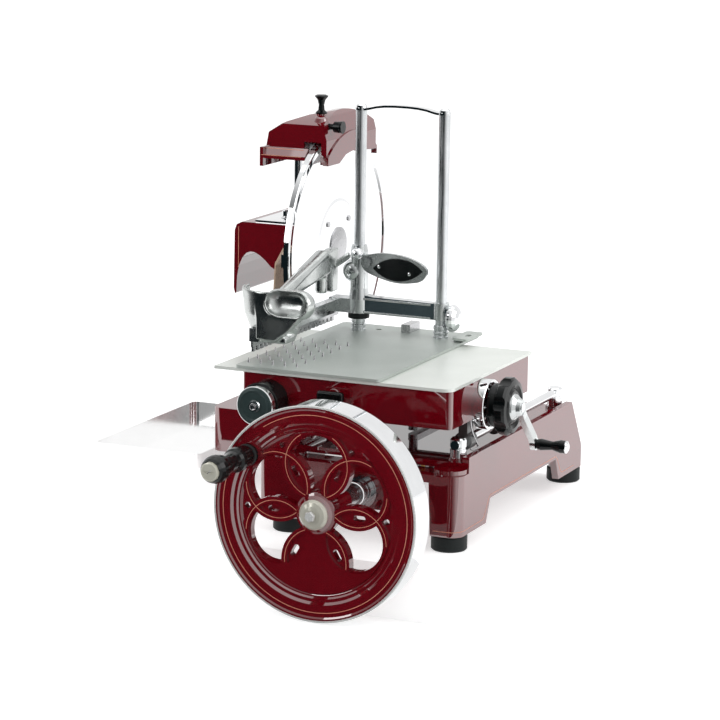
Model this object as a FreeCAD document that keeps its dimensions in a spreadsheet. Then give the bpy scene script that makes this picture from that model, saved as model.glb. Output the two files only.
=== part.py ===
import FreeCAD, Part
import math
import os
import Sketcher

# A flywheel meat slicer, turned by hand.  Millimetres, +Z up, origin at the middle of the underside of
# the front right foot.  X runs from the blade towards the feed crank, Y from the flywheel to the back.

DIMENSIONS = {
    # feet and base casting
    "foot_radius": 23, "foot_height": 24, "front_feet_apart": 220, "feet_front_to_back": 412,
    "rear_left_foot_x": -372, "leg_bottom": 20, "deck_top": 110, "deck_thickness": 8, "base_wall": 9,
    "front_top": 98, "front_step": 30, "rim_height": 8, "base_right": 22, "base_left": -258,
    "wing_left": -415, "wing_front": 156, "base_back": 435, "base_front": -23, "corner_radius": 16,
    "back_lean": 51, "arch_front": 66, "arch_back": 336, "arch_height": 50, "arch_slope": 16,
    # guide rods that carry the carriage
    "rod_radius": 6, "rod_above_deck": 21, "post_radius": 9.5, "post_above_rod": 8, "right_rod_x": 1,
    "left_rod_x": -236, "post_front_y": 22, "post_back_y": 367, "post_boss_radius": 12, "post_boss_depth": 58,
    # the opening under the front wall, and the gap beside the right leg
    "front_wall_bottom": 45, "left_leg_edge": -196, "gap_left": -56, "gap_right": -20, "gap_top": 88,
    # flywheel and its shaft
    "wheel_x": -112, "wheel_z": 68, "wheel_radius": 136, "wheel_face_y": -165, "wheel_width": 42,
    "band_thickness": 3, "web_thickness": 10, "web_setback": 7, "rim_inner_radius": 103, "hub_radius": 23,
    "petal_circle": 61, "petal_hole_radius": 36, "petal_web_radius": 46, "band_inner_radius": 38.5,
    "band_height": 2.5, "lobe_half_angle": 52, "shaft_radius": 12, "hub_length": 84,
    "cap_radius": 19, "cap_height": 9, "handle_circle": 111.3, "handle_angle": 143.7, "grip_radius": 17.6,
    "grip_length": 98, "socket_radius": 14, "socket_length": 6, "spindle_radius": 5, "bearing_radius": 17, "bearing_length": 25, "lug_width": 14, "bush_wall": 3,
    # crank, cross shaft and chain drive
    "crank_y": 236, "crank_radius": 92, "cross_y": 300, "gear_radius": 30, "gear_face": 11, "crank_shaft_radius": 9,
    "crank_arm_thickness": 8, "roller_radius": 6, "roller_top": 137, "chain_x": -370,
    "chain_width": 8, "chain_thickness": 6, "lower_chain_radius": 30, "upper_chain_radius": 15,
    # blade, its guard and its carrier
    "blade_x": -320, "blade_y": 356, "blade_z": 310, "blade_radius": 150, "blade_thickness": 5,
    "guard_clearance": 12, "guard_thickness": 5, "guard_width": 8, "knife_shaft_radius": 10,
    "head_left": -444, "head_right": -345, "head_front": 281, "head_depth": 150, "head_bottom": 250,
    "head_top": 345, "column_wall": 7, "column_width": 56, "cover_radius": 34,
    # sharpener
    "hood_right": -305, "hood_left": -396, "hood_front": 281, "hood_back": 446, "hood_overlap": 10,
    "hood_clearance": 40, "skirt_height": 30, "hood_wall": 4, "stone_radius": 14, "stone_thickness": 8,
    "hood_knob_height": 26, "hood_knob_radius": 9, "hood_post_radius": 6, "button_travel": 3,
    # carriage
    "box_left": -275, "box_right": 13, "box_front": -34, "box_back": 236, "box_bottom": 160,
    "box_top": 208, "box_wall": 5, "box_edge_radius": 7, "table_left": -312, "table_right": 14,
    "table_front": -38, "table_back": 240, "table_thickness": 4, "bearing_block": 20,
    "bearing_ring": 12, "yoke_bar": 10, "yoke_half_length": 98,
    # feed table, pins and columns
    "feed_left": -282, "feed_right": -82, "feed_front": -40, "feed_back": 296, "feed_thickness": 3.7,
    "feed_gap": 0.3, "feed_travel_in": 5, "feed_travel_out": 96, "pin_height": 6, "pin_radius": 1.6,
    "pin_rows": 5, "pins_in_row": 7, "pin_pitch_x": 17, "pin_pitch_y": 26,
    "column_radius": 7.6, "left_column_x": -241, "right_column_x": -120.8, "columns_y": 252,
    "column_top": 514, "strap_thickness": 3, "strap_rise": 6, "strap_width": 14, "collar_radius": 10,
    "collar_height": 17, "ring_radius": 14.5, "ring_height": 6,
    # feed screw, dial ring, handwheel and crank
    "screw_y": 66, "screw_z": 175.5, "screw_radius": 6, "dial_radius": 32, "dial_wall": 4,
    "dial_length": 15, "handwheel_radius": 37, "handwheel_width": 29, "arm_length": 59,
    "arm_thickness": 7, "arm_lean": 8.5, "crank_grip_radius": 8, "crank_grip_length": 42,
    # thickness knob and carriage release
    "knob_x": -236, "knob_z": 174, "knob_radius": 25, "knob_width": 13, "drum_radius": 27,
    "drum_length": 31, "release_x": -145, "release_z": 190, "release_length": 36, "release_stem": 5, "release_travel": 6,
    # meat press
    "press_bottom": 240.4, "beam_height": 24, "beam_end_height": 19, "beam_depth": 15, "sleeve_radius": 12,
    "end_knob_radius": 18.5,
    "riser_top": 332, "comb_x": -276, "comb_thickness": 7, "comb_front": -4, "comb_bottom": 227,
    "tooth_height": 6, "scoop_radius": 44, "scoop_top": 308, "scoop_wall": 4, "lever_length": 94, "pivot_radius": 4,
    "pivot_x": -218, "pivot_z": 314, "lever_height": 38, "lever_thickness": 6,
    # receiving tray
    "tray_left": -580, "tray_right": -417, "tray_front": 125, "tray_back": 425, "tray_bottom": 30,
    "tray_rim": 20, "tray_wall": 2,
    # fits between pieces that move on each other
    "running_fit": 0.05, "sliding_fit": 0.08, "face_gap": 0.4, "chain_gap": 0.3,
}

doc = FreeCAD.newDocument("meat_slicer")
sheet = doc.addObject("Spreadsheet::Sheet", "sizes")
PIECES = []


class Size:
    """A size of the sheet, or one worked out from such sizes: its formula and its value."""

    def __init__(self, text, value):
        self.text = text
        self.value = float(value)

    def __add__(self, other):
        return Size(f"({self.text} + {text_of(other)})", self.value + value_of(other))

    def __radd__(self, other):
        return Size(f"({text_of(other)} + {self.text})", value_of(other) + self.value)

    def __sub__(self, other):
        return Size(f"({self.text} - {text_of(other)})", self.value - value_of(other))

    def __rsub__(self, other):
        return Size(f"({text_of(other)} - {self.text})", value_of(other) - self.value)

    def __mul__(self, other):
        return Size(f"({self.text} * {text_of(other)})", self.value * value_of(other))

    def __rmul__(self, other):
        return Size(f"({text_of(other)} * {self.text})", value_of(other) * self.value)

    def __truediv__(self, other):
        return Size(f"({self.text} / {text_of(other)})", self.value / value_of(other))

    def __neg__(self):
        return Size(f"(0 - {self.text})", -self.value)

    def __float__(self):
        return self.value


def text_of(number):
    return number.text if isinstance(number, Size) else repr(float(number))


def value_of(number):
    return number.value if isinstance(number, Size) else float(number)


class Sizes:
    """The sheet's cells, each read by its alias."""


S = Sizes()
for row, (alias, number) in enumerate(DIMENSIONS.items(), start=1):
    sheet.set(f"A{row}", alias.replace("_", " "))
    sheet.set(f"B{row}", str(number))
    sheet.setAlias(f"B{row}", alias)
    setattr(S, alias, Size(f"sizes.{alias}", number))
doc.recompute()

# ---------------------------------------------------------------- building blocks

TURNS = {
    "+Z": FreeCAD.Rotation(),
    "-Z": FreeCAD.Rotation(FreeCAD.Vector(1, 0, 0), 180),
    "+X": FreeCAD.Rotation(FreeCAD.Vector(0, 1, 0), 90),
    "-X": FreeCAD.Rotation(FreeCAD.Vector(0, 1, 0), -90),
    "+Y": FreeCAD.Rotation(FreeCAD.Vector(1, 0, 0), -90),
    "-Y": FreeCAD.Rotation(FreeCAD.Vector(1, 0, 0), 90),
}
# how a drawing lies: its own x and y run along these axes, and it is padded along the third
DRAWINGS = {
    "XY": FreeCAD.Rotation(),
    "XZ": FreeCAD.Rotation(FreeCAD.Vector(1, 0, 0), 90),
    "YZ": FreeCAD.Rotation(FreeCAD.Vector(1, 1, 1), 120),
}


def bind(obj, prop, number):
    """The property follows the sheet, or is a plain number."""
    if isinstance(number, Size):
        obj.setExpression(prop, number.text)
    elif "." not in prop:
        setattr(obj, prop, float(number))
    else:
        obj.setExpression(prop, repr(float(number)))


def place(obj, spot, turn=None):
    if turn is not None:
        obj.Placement = FreeCAD.Placement(FreeCAD.Vector(), turn)
    for axis, number in zip("xyz", spot):
        bind(obj, f"Placement.Base.{axis}", number)
    return obj


def box(name, x, y, z):
    obj = doc.addObject("Part::Box", name)
    for prop, (low, high) in zip(("Length", "Width", "Height"), (x, y, z)):
        bind(obj, prop, high - low if isinstance(high, Size) else (0 - (low - high)))
    return place(obj, (x[0], y[0], z[0]))


def rod(name, axis, start, length, radius):
    obj = doc.addObject("Part::Cylinder", name)
    bind(obj, "Radius", radius)
    bind(obj, "Height", length)
    return place(obj, start, TURNS[axis])


def taper(name, axis, start, length, first_radius, last_radius):
    obj = doc.addObject("Part::Cone", name)
    bind(obj, "Radius1", first_radius)
    bind(obj, "Radius2", last_radius)
    bind(obj, "Height", length)
    return place(obj, start, TURNS[axis])


def ball(name, centre, radius):
    obj = doc.addObject("Part::Sphere", name)
    bind(obj, "Radius", radius)
    return place(obj, centre)


def cut(name, base, *tools):
    obj = doc.addObject("Part::Cut", name)
    obj.Base = base
    obj.Tool = tools[0] if len(tools) == 1 else fuse(name + "_tools", *tools)
    return obj


def fuse(name, *parts, refine=True):
    obj = doc.addObject("Part::MultiFuse", name)
    obj.Shapes = list(parts)
    obj.Refine = refine
    return obj


def common(name, first, second):
    obj = doc.addObject("Part::MultiCommon", name)
    obj.Shapes = [first, second]
    return obj


def together(name, *parts):
    """Separate solids that share one node."""
    obj = doc.addObject("Part::Compound", name)
    obj.Links = list(parts)
    return obj


def draw(body, name, points, closed_by=None):
    """A closed outline in the body's XY plane, each corner held at its two distances from the origin."""
    sketch = body.newObject("Sketcher::SketchObject", name)
    plane = [feature for feature in body.Origin.OriginFeatures if feature.Role == "XY_Plane"][0]
    sketch.AttachmentSupport = [(plane, "")]
    sketch.MapMode = "FlatFace"
    corners = [FreeCAD.Vector(value_of(u), value_of(v), 0) for u, v in points]
    count = len(corners)
    for index in range(count):
        sketch.addGeometry(Part.LineSegment(corners[index], corners[(index + 1) % count]), False)
    for index in range(count):
        sketch.addConstraint(Sketcher.Constraint("Coincident", index, 2, (index + 1) % count, 1))
    for index, corner in enumerate(points):
        for kind, number in zip(("DistanceX", "DistanceY"), corner):
            held = sketch.addConstraint(Sketcher.Constraint(kind, -1, 1, index, 1, value_of(number)))
            if isinstance(number, Size):
                sketch.setExpression(f"Constraints[{held}]", number.text)
    return sketch


def padded(name, lie, points, start, thickness, radius=None, corners=None):
    """A flat piece: an outline in the plane lie, padded from start; radius rounds the upright edges."""
    body = doc.addObject("PartDesign::Body", name)
    sketch = draw(body, name + "_outline", points)
    pad = body.newObject("PartDesign::Pad", name + "_pad")
    pad.Profile = sketch
    bind(pad, "Length", thickness)
    spot = {"XY": (0, 0, start), "XZ": (0, start, 0), "YZ": (start, 0, 0)}[lie]
    place(body, spot, DRAWINGS[lie])
    if radius is not None:
        doc.recompute()
        upright = []
        for number, edge in enumerate(pad.Shape.Edges, start=1):
            straight = abs(edge.tangentAt(edge.FirstParameter).z) > 0.99
            middle = edge.valueAt((edge.FirstParameter + edge.LastParameter) / 2)
            if straight and (corners is None or corners(middle)):
                upright.append(f"Edge{number}")
        rounding = body.newObject("PartDesign::Fillet", name + "_rounding")
        rounding.Base = (pad, upright)
        bind(rounding, "Radius", radius)
        sketch.Visibility = False
    return body


def turned(name, axis, start, profile):
    """A turned piece: its profile is a list of (distance along the axis, radius)."""
    body = doc.addObject("PartDesign::Body", name)
    sketch = draw(body, name + "_profile", [(radius, along) for along, radius in profile])
    turn = body.newObject("PartDesign::Revolution", name + "_turned")
    turn.Profile = sketch
    turn.ReferenceAxis = (sketch, ["V_Axis"])
    turn.Angle = 360
    # the outline stands in the body's XY plane, so its own Y is the turning axis
    upright = FreeCAD.Rotation(FreeCAD.Vector(1, 0, 0), 90)
    return place(body, start, TURNS[axis].multiply(upright))


def soften(name, base, radius, wanted):
    """Rounds the edges of a plain solid that wanted(edge) picks."""
    doc.recompute()
    obj = doc.addObject("Part::Fillet", name)
    obj.Base = base
    size = value_of(radius)
    picked = [number for number, edge in enumerate(base.Shape.Edges, start=1) if wanted(edge)]
    obj.Edges = [(number, size, size) for number in picked]
    return obj


def shaped(name, shape):
    """A piece whose outline neither sketches nor primitives suit."""
    obj = doc.addObject("Part::Feature", name)
    obj.Shape = shape
    return obj


def keep(node, obj):
    """The object becomes the sub-part of that name."""
    obj.Label = node
    PIECES.append(obj)
    return obj


def tube(name, axis, start, length, outer, inner):
    return turned(name, axis, start, [(0, inner), (length, inner), (length, outer), (0, outer)])


def runs_along(direction):
    """Picks straight edges that run along a direction."""
    def wanted(edge):
        if not isinstance(edge.Curve, Part.Line):
            return False
        return abs(edge.tangentAt(edge.FirstParameter).dot(direction)) > 0.99
    return wanted


X_WAY = FreeCAD.Vector(1, 0, 0)
Y_WAY = FreeCAD.Vector(0, 1, 0)
Z_WAY = FreeCAD.Vector(0, 0, 1)

# ---------------------------------------------------------------- places worked out once

deck_bottom = S.deck_top - S.deck_thickness
rod_z = S.deck_top + S.rod_above_deck
post_top = rod_z + S.post_above_rod
guard_radius = S.blade_radius + S.guard_clearance
hood_radius = S.blade_radius + S.hood_clearance
hood_bottom = S.blade_z + S.blade_radius - S.hood_overlap
wheel_back = S.wheel_face_y + S.wheel_width
inner_wheel_radius = S.wheel_radius - S.band_thickness
pinion_start = S.crank_y - S.gear_radius
gear_inner = S.gear_radius - S.gear_face
box_floor = S.box_bottom + S.box_wall
table_bottom = S.box_top
table_top = table_bottom + S.table_thickness
feed_bottom = table_top + S.feed_gap
feed_top = feed_bottom + S.feed_thickness
back_foot_y = S.feet_front_to_back
left_foot_x = -S.front_feet_apart
knife_back = S.blade_x - S.blade_thickness
dial_end = S.box_right + S.dial_length
handwheel_start = dial_end + 1
handwheel_end = handwheel_start + S.handwheel_width
arm_start = handwheel_end + 5
grip_start = arm_start + S.arm_lean + S.arm_thickness + S.face_gap
press_top = S.press_bottom + S.beam_height
main_lug_places = (S.crank_y - 86, S.cross_y + S.gear_radius + 10)
cross_lug_places = (S.wheel_x - 88, S.chain_x + 34)
post_x = S.head_right - 28
post_places = (S.blade_y - 20, S.blade_y + 20)


def polar(centre_x, centre_z, distance, degrees):
    """A point of a plane facing Y, at a distance and an angle from a centre."""
    x = centre_x + distance * math.cos(math.radians(degrees))
    z = centre_z + distance * math.sin(math.radians(degrees))
    return x, z


# ---------------------------------------------------------------- base, feet and guide rods

def base_casting():
    front = S.base_front
    outline = [(S.base_left, front), (S.base_right, front), (S.base_right, S.base_back),
               (S.wing_left, S.base_back), (S.wing_left, S.wing_front), (S.base_left, S.wing_front)]
    shell = padded("base_shell", "XY", outline, S.leg_bottom, S.deck_top - S.leg_bottom, S.corner_radius)
    wall = S.base_wall
    hollow = [(S.base_left + wall, front + wall), (S.base_right - wall, front + wall),
              (S.base_right - wall, S.base_back - wall), (S.wing_left + wall, S.base_back - wall),
              (S.wing_left + wall, S.wing_front + wall), (S.base_left + wall, S.wing_front + wall)]
    inside = padded("base_hollow", "XY", hollow, S.leg_bottom - 5, deck_bottom - S.leg_bottom + 5)
    step = box("front_step_cut", (S.base_left - 5, S.base_right + 5), (front - 5, front + S.front_step),
               (S.front_top, S.deck_top + 20))
    front_deck = box("front_deck", (S.base_left + wall, S.base_right - wall),
                     (front + wall, front + S.front_step + wall), (S.front_top - 8, S.front_top))
    arch = [(S.arch_front, S.leg_bottom - 6), (S.arch_back, S.leg_bottom - 6),
            (S.arch_back - S.arch_slope, S.arch_height), (S.arch_front + S.arch_slope, S.arch_height)]
    side_arch = padded("side_arch", "YZ", arch, S.wing_left - 5, S.base_right - S.wing_left + 10)
    reach = S.front_feet_apart / 2 - 52
    middle = left_foot_x / 2
    back_arch_outline = [(middle - reach - 12, S.leg_bottom - 6), (middle + reach + 12, S.leg_bottom - 6),
                         (middle + reach, S.leg_bottom + 14), (middle - reach, S.leg_bottom + 14)]
    back_arch = padded("back_arch", "XZ", back_arch_outline, S.base_back + 5, wall + 10)
    low = S.front_wall_bottom
    front_arch_outline = [(S.left_leg_edge, S.leg_bottom - 6), (S.left_leg_edge + 12, low), (S.gap_left - 4, low),
                          (S.gap_left, S.gap_top), (S.gap_right, S.gap_top), (S.gap_right + 3, S.leg_bottom - 6)]
    front_arch = padded("front_arch", "XZ", front_arch_outline, front + wall + 12, wall + 17)
    slope = S.back_lean / (S.deck_top - S.leg_bottom - 8)
    thick = wall * 1.18
    lean_top = S.base_back - S.back_lean - slope * 30
    outer_lean = padded("back_lean_cut", "YZ",
                        [(S.base_back, S.leg_bottom + 8), (S.base_back + 20, S.leg_bottom + 8),
                         (S.base_back + 20, S.deck_top + 30), (lean_top, S.deck_top + 30)],
                        S.wing_left - 5, S.base_right - S.wing_left + 10)
    inner_lean = padded("hollow_lean_cut", "YZ",
                        [(S.base_back - thick, S.leg_bottom + 8), (S.base_back + 20, S.leg_bottom + 8),
                         (S.base_back + 20, S.deck_top + 30), (lean_top - thick, S.deck_top + 30)],
                        S.wing_left - 5, S.base_right - S.wing_left + 10)
    rim = box("right_rim", (S.base_right - 9, S.base_right), (front + S.front_step, S.base_back - 16),
              (S.deck_top - 1, S.deck_top + S.rim_height))
    bosses = []
    for side, x in (("right", S.right_rod_x), ("left", S.left_rod_x)):
        for end, y in (("front", S.post_front_y), ("back", S.post_back_y)):
            bosses.append(taper(f"{side}_{end}_boss", "+Z", (x, y, S.deck_top + 4 - S.post_boss_depth),
                                S.post_boss_depth, S.post_boss_radius + 5, S.post_boss_radius))
    pads = []
    for name, x, y in foot_places():
        pads.append(rod(f"{name}_foot_pad", "+Z", (x, y, S.leg_bottom), deck_bottom - S.leg_bottom + 2,
                        S.foot_radius - 2))
    open_base = cut("base_stepped", cut("base_open", shell, cut("leaning_hollow", inside, inner_lean)), step, side_arch, back_arch, front_arch)
    whole = fuse("base_with_pads", fuse("base_with_rim", open_base, rim, front_deck), *pads,
                 refine=False)
    for number, boss in enumerate(bosses + shaft_lugs(), start=1):
        whole = fuse(f"base_with_lug_{number}", whole, boss, refine=False)
    chain_slot = box("chain_slot", (S.chain_x - 9, S.chain_x + 9),
                     (S.cross_y - S.lower_chain_radius - 5, S.cross_y + S.lower_chain_radius + 22),
                     (deck_bottom - 5, S.deck_top + 5))
    shaft_hole = rod("front_shaft_hole", "+Y", (S.wheel_x, S.base_front - 5, S.wheel_z), S.base_wall + 12,
                     S.shaft_radius + 1)
    crank_hole = rod("crank_hole", "+Z", (S.wheel_x, S.crank_y, deck_bottom - 5), S.deck_thickness + 10,
                     S.crank_shaft_radius + S.bush_wall)
    holes = []
    for number, y in enumerate(main_lug_places, start=1):
        holes.append(rod(f"main_lug_hole_{number}", "+Y", (S.wheel_x, y - 5, S.wheel_z), S.lug_width + 10,
                         S.shaft_radius + S.bush_wall))
    for number, x in enumerate(cross_lug_places, start=1):
        holes.append(rod(f"cross_lug_hole_{number}", "+X", (x - 5, S.cross_y, S.wheel_z), S.lug_width + 10,
                         S.crank_shaft_radius + S.bush_wall))
    return keep("base_casting", cut("base", whole, outer_lean, chain_slot, shaft_hole, crank_hole, *holes))


def foot_places():
    return (("front_right", 0.0 * S.foot_radius, 0.0 * S.foot_radius),
            ("front_left", left_foot_x, 0.0 * S.foot_radius),
            ("back_right", 0.0 * S.foot_radius, back_foot_y),
            ("back_left", S.rear_left_foot_x, back_foot_y))


def rubber_feet():
    feet = []
    low = S.foot_height - S.leg_bottom
    for name, x, y in foot_places():
        profile = [(0, 0), (0, S.foot_radius - 2), (2, S.foot_radius), (S.leg_bottom - 2, S.foot_radius),
                   (S.leg_bottom, S.foot_radius - 2), (S.leg_bottom, 0)]
        feet.append(turned(f"{name}_foot", "+Z", (x, y, 0), profile))
    return keep("rubber_feet", together("feet", *feet))


def carriage_guides():
    """The two level rods that the carriage runs on, and the four posts that hold them."""
    start = S.post_front_y - S.post_radius - 3
    length = S.post_back_y - S.post_front_y + S.post_radius * 2 + 6
    pieces = [rod(f"{side}_guide_rod", "+Y", (x, start, rod_z), length, S.rod_radius)
              for side, x in (("right", S.right_rod_x), ("left", S.left_rod_x))]
    foot = S.deck_top + 4
    for side, x in (("right", S.right_rod_x), ("left", S.left_rod_x)):
        for end, y in (("front", S.post_front_y), ("back", S.post_back_y)):
            height = post_top - foot
            profile = [(0, 0), (0, S.post_radius + 1), (height * 0.42, S.post_radius + 1),
                       (height * 0.45, S.post_radius), (height * 0.52, S.post_radius),
                       (height * 0.55, S.post_radius + 1), (height - 2, S.post_radius + 1),
                       (height, S.post_radius - 1), (height, 0)]
            name = f"{side}_{end}_post"
            column = turned(name + "_turned_piece", "+Z", (x, y, foot), profile)
            hole = rod(name + "_hole", "+Y", (x, y - 15, rod_z), 30, S.rod_radius)
            pieces.append(cut(name, column, hole))
    return keep("carriage_guides", together("guides", *pieces))


# ---------------------------------------------------------------- flywheel

def petal_hole(name, degrees):
    """The open part of one petal: its own circle, less the two neighbours' rings and the hub."""
    start = S.wheel_face_y - 5
    depth = S.wheel_width + 10

    def disc(label, angle, radius):
        x, z = polar(S.wheel_x, S.wheel_z, S.petal_circle, angle)
        return rod(label, "+Y", (x, start, z), depth, radius)

    own = disc(name + "_circle", degrees, S.petal_hole_radius)
    before = disc(name + "_before", degrees - 60, S.petal_web_radius)
    after = disc(name + "_after", degrees + 60, S.petal_web_radius)
    hub = rod(name + "_hub", "+Y", (S.wheel_x, start, S.wheel_z), depth, S.hub_radius + 5)
    return cut(name, own, before, after, hub)


def wheel_disc_at(label, angle, radius, start, depth):
    """A disc of the wheel's face about one petal's centre."""
    x, z = polar(S.wheel_x, S.wheel_z, S.petal_circle, angle)
    return rod(label, "+Y", (x, start, z), depth, radius)


def flywheel():
    """A turned disc; each petal has a raised band round it, and the lobe between the lowest two is raised."""
    face = S.web_setback + S.band_height
    back = face + S.web_thickness
    rim = S.rim_inner_radius
    outer = inner_wheel_radius
    width = S.wheel_width
    profile = [
        (S.hub_length, 0), (2, 0), (2, S.hub_radius - 4), (face - 4, S.hub_radius), (face - 2, S.hub_radius + 3),
        (face, S.hub_radius + 3.5), (face, rim - 3), (face - 2, rim), (face - 2, rim + 2), (face - 4, rim + 4),
        (face - 4, rim + 8), (face - 7, rim + 11), (face - 7, rim + 15), (2, rim + 19), (2, outer - 4),
        (0.5, outer - 2), (0.5, outer), (width - 1, outer), (width - 1, outer - 9), (back, rim + 4),
        (back, S.hub_radius + 6), (back + 8, S.hub_radius + 2), (width, S.hub_radius - 5),
        (S.hub_length, S.shaft_radius + 2),
    ]
    disc = turned("wheel_disc", "+Y", (S.wheel_x, S.wheel_face_y, S.wheel_z), profile)
    front = S.wheel_face_y + S.web_setback
    raised = S.band_height + 1
    bands = []
    for angle in (30, 90, 150, 210, 270, 330):
        bands.append(cut(f"petal_band_{angle}",
                         wheel_disc_at(f"band_outer_{angle}", angle, S.petal_web_radius, front, raised),
                         wheel_disc_at(f"band_inner_{angle}", angle, S.band_inner_radius, front - 1, raised + 2)))
    spread = math.radians(S.lobe_half_angle.value)
    reach = rim + 20
    lobe_outline = [(S.wheel_x, S.wheel_z), (S.wheel_x - reach * math.tan(spread), S.wheel_z - reach),
                    (S.wheel_x + reach * math.tan(spread), S.wheel_z - reach)]
    wedge = padded("lobe_wedge", "XZ", lobe_outline, front + raised, raised)
    lobe = cut("lobe", wedge, wheel_disc_at("lobe_left_cut", 210, S.petal_web_radius - 1, front - 1, raised + 2),
               wheel_disc_at("lobe_right_cut", 330, S.petal_web_radius - 1, front - 1, raised + 2))
    within = rod("raised_limit", "+Y", (S.wheel_x, front - 1, S.wheel_z), raised + 2, rim - 2)
    raised_part = common("raised_part", within, fuse("bands_and_lobe", *bands, lobe))
    start = S.wheel_face_y - 5
    depth = S.wheel_width + 10
    holes = [petal_hole(f"petal_{angle}", angle) for angle in (30, 90, 150, 210, 330)]
    for angle in (0, 60, 120, 180, 240, 300):
        if angle not in (240, 300):
            x, z = polar(S.wheel_x, S.wheel_z, S.petal_circle * 1.53, angle)
            holes.append(rod(f"rim_hole_{angle}", "+Y", (x, start, z), depth, 3.8))
        for end, step in (("inner", -4.6), ("outer", 4.6)):
            x, z = polar(S.wheel_x, S.wheel_z, S.petal_circle * 0.94 + step, angle)
            holes.append(rod(f"slot_{angle}_{end}", "+Y", (x, start, z), depth, 3.4))
        way = math.radians(angle)
        x, z = polar(S.wheel_x, S.wheel_z, S.petal_circle * 0.94, angle)
        corners = []
        for along, across in ((-4.6, -3.4), (4.6, -3.4), (4.6, 3.4), (-4.6, 3.4)):
            corners.append((x + along * math.cos(way) - across * math.sin(way),
                            z + along * math.sin(way) + across * math.cos(way)))
        holes.append(padded(f"slot_{angle}_middle", "XZ", corners, start + depth, depth))
    bore = rod("wheel_bore", "+Y", (S.wheel_x, S.wheel_face_y - 5, S.wheel_z), S.hub_length + 30,
               S.shaft_radius)
    x, z = polar(S.wheel_x, S.wheel_z, S.handle_circle, S.handle_angle.value)
    boss = rod("handle_boss", "+Y", (x, S.wheel_face_y + 1.5, z), S.web_setback + 2, S.socket_radius + 4)
    return keep("flywheel", cut("wheel", fuse("wheel_with_boss", disc, raised_part, boss), bore, *holes))


def flywheel_band():
    outer = S.wheel_radius
    inner = inner_wheel_radius
    profile = [(0, outer - 1), (1, outer), (S.wheel_width - 1, outer), (S.wheel_width, outer - 1),
               (S.wheel_width, inner), (0, inner)]
    return keep("flywheel_band", turned("band", "+Y", (S.wheel_x, S.wheel_face_y, S.wheel_z), profile))


def hub_cap():
    height = S.cap_height
    radius = S.cap_radius
    dome = turned("cap_dome", "-Y", (S.wheel_x, S.wheel_face_y + 2, S.wheel_z),
                  [(0, 0), (0, radius), (2, radius), (height * 0.6, radius * 0.84), (height * 0.85, radius * 0.6),
                   (height, radius * 0.36), (height, 0)])
    nut = shaped("cap_nut", hexagon(S.wheel_x.value, S.wheel_face_y.value + 2 - height.value + 1,
                                    S.wheel_z.value, 6.5, 4))
    return keep("hub_cap", fuse("cap", dome, nut))


def hexagon(x, y, z, across, thickness):
    """A hexagonal nut facing -Y."""
    corners = [FreeCAD.Vector(x + across * math.cos(math.radians(60 * n + 20)), y,
                              z + across * math.sin(math.radians(60 * n + 20))) for n in range(7)]
    face = Part.Face(Part.makePolygon(corners))
    return face.extrude(FreeCAD.Vector(0, -thickness, 0))


def flywheel_shaft():
    start = S.wheel_face_y + 2
    end = main_lug_places[1] + S.lug_width
    shaft = rod("main_shaft", "+Y", (S.wheel_x, start, S.wheel_z), end - start, S.shaft_radius)
    return keep("flywheel_shaft", shaft)


def bevel_gear(axis, centre, bore):
    """A 45 degree bevel gear; its teeth point at centre, and its back lies gear_radius away along axis."""
    teeth = 20
    radius = S.gear_radius.value
    inner = gear_inner.value
    depth = 2.0
    points = [FreeCAD.Vector(bore, 0, inner + depth), FreeCAD.Vector(inner - depth, 0, inner + depth),
              FreeCAD.Vector(radius - depth, 0, radius + depth), FreeCAD.Vector(bore, 0, radius + depth),
              FreeCAD.Vector(bore, 0, inner + depth)]
    blank = Part.Face(Part.makePolygon(points)).revolve(FreeCAD.Vector(), FreeCAD.Vector(0, 0, 1), 360)
    lean = FreeCAD.Rotation(FreeCAD.Vector(0, 1, 0), 45)
    slant = math.sqrt(2)
    tooth = Part.makeBox(4.2, 2.6, (radius - inner) * slant - 0.8)
    tooth.translate(FreeCAD.Vector(-3.5, -1.3, inner * slant + 0.4))
    tooth.rotate(FreeCAD.Vector(), lean.Axis, math.degrees(lean.Angle))
    ring = [tooth.copy() for _ in range(teeth)]
    for number, copy in enumerate(ring):
        copy.rotate(FreeCAD.Vector(), FreeCAD.Vector(0, 0, 1), 360.0 * number / teeth)
    gear = blank.fuse(ring).removeSplitter()
    return gear, axis, centre


def place_gear(node, axis, bore, turn, y):
    gear, _, _ = bevel_gear(axis, None, bore)
    gear.rotate(FreeCAD.Vector(), FreeCAD.Vector(0, 0, 1), turn)
    obj = shaped(node + "_blank", gear)
    obj.Placement = FreeCAD.Placement(FreeCAD.Vector(), TURNS[axis]).multiply(obj.Placement)
    place(obj, (S.wheel_x, y, S.wheel_z))
    return keep(node, obj)


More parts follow.
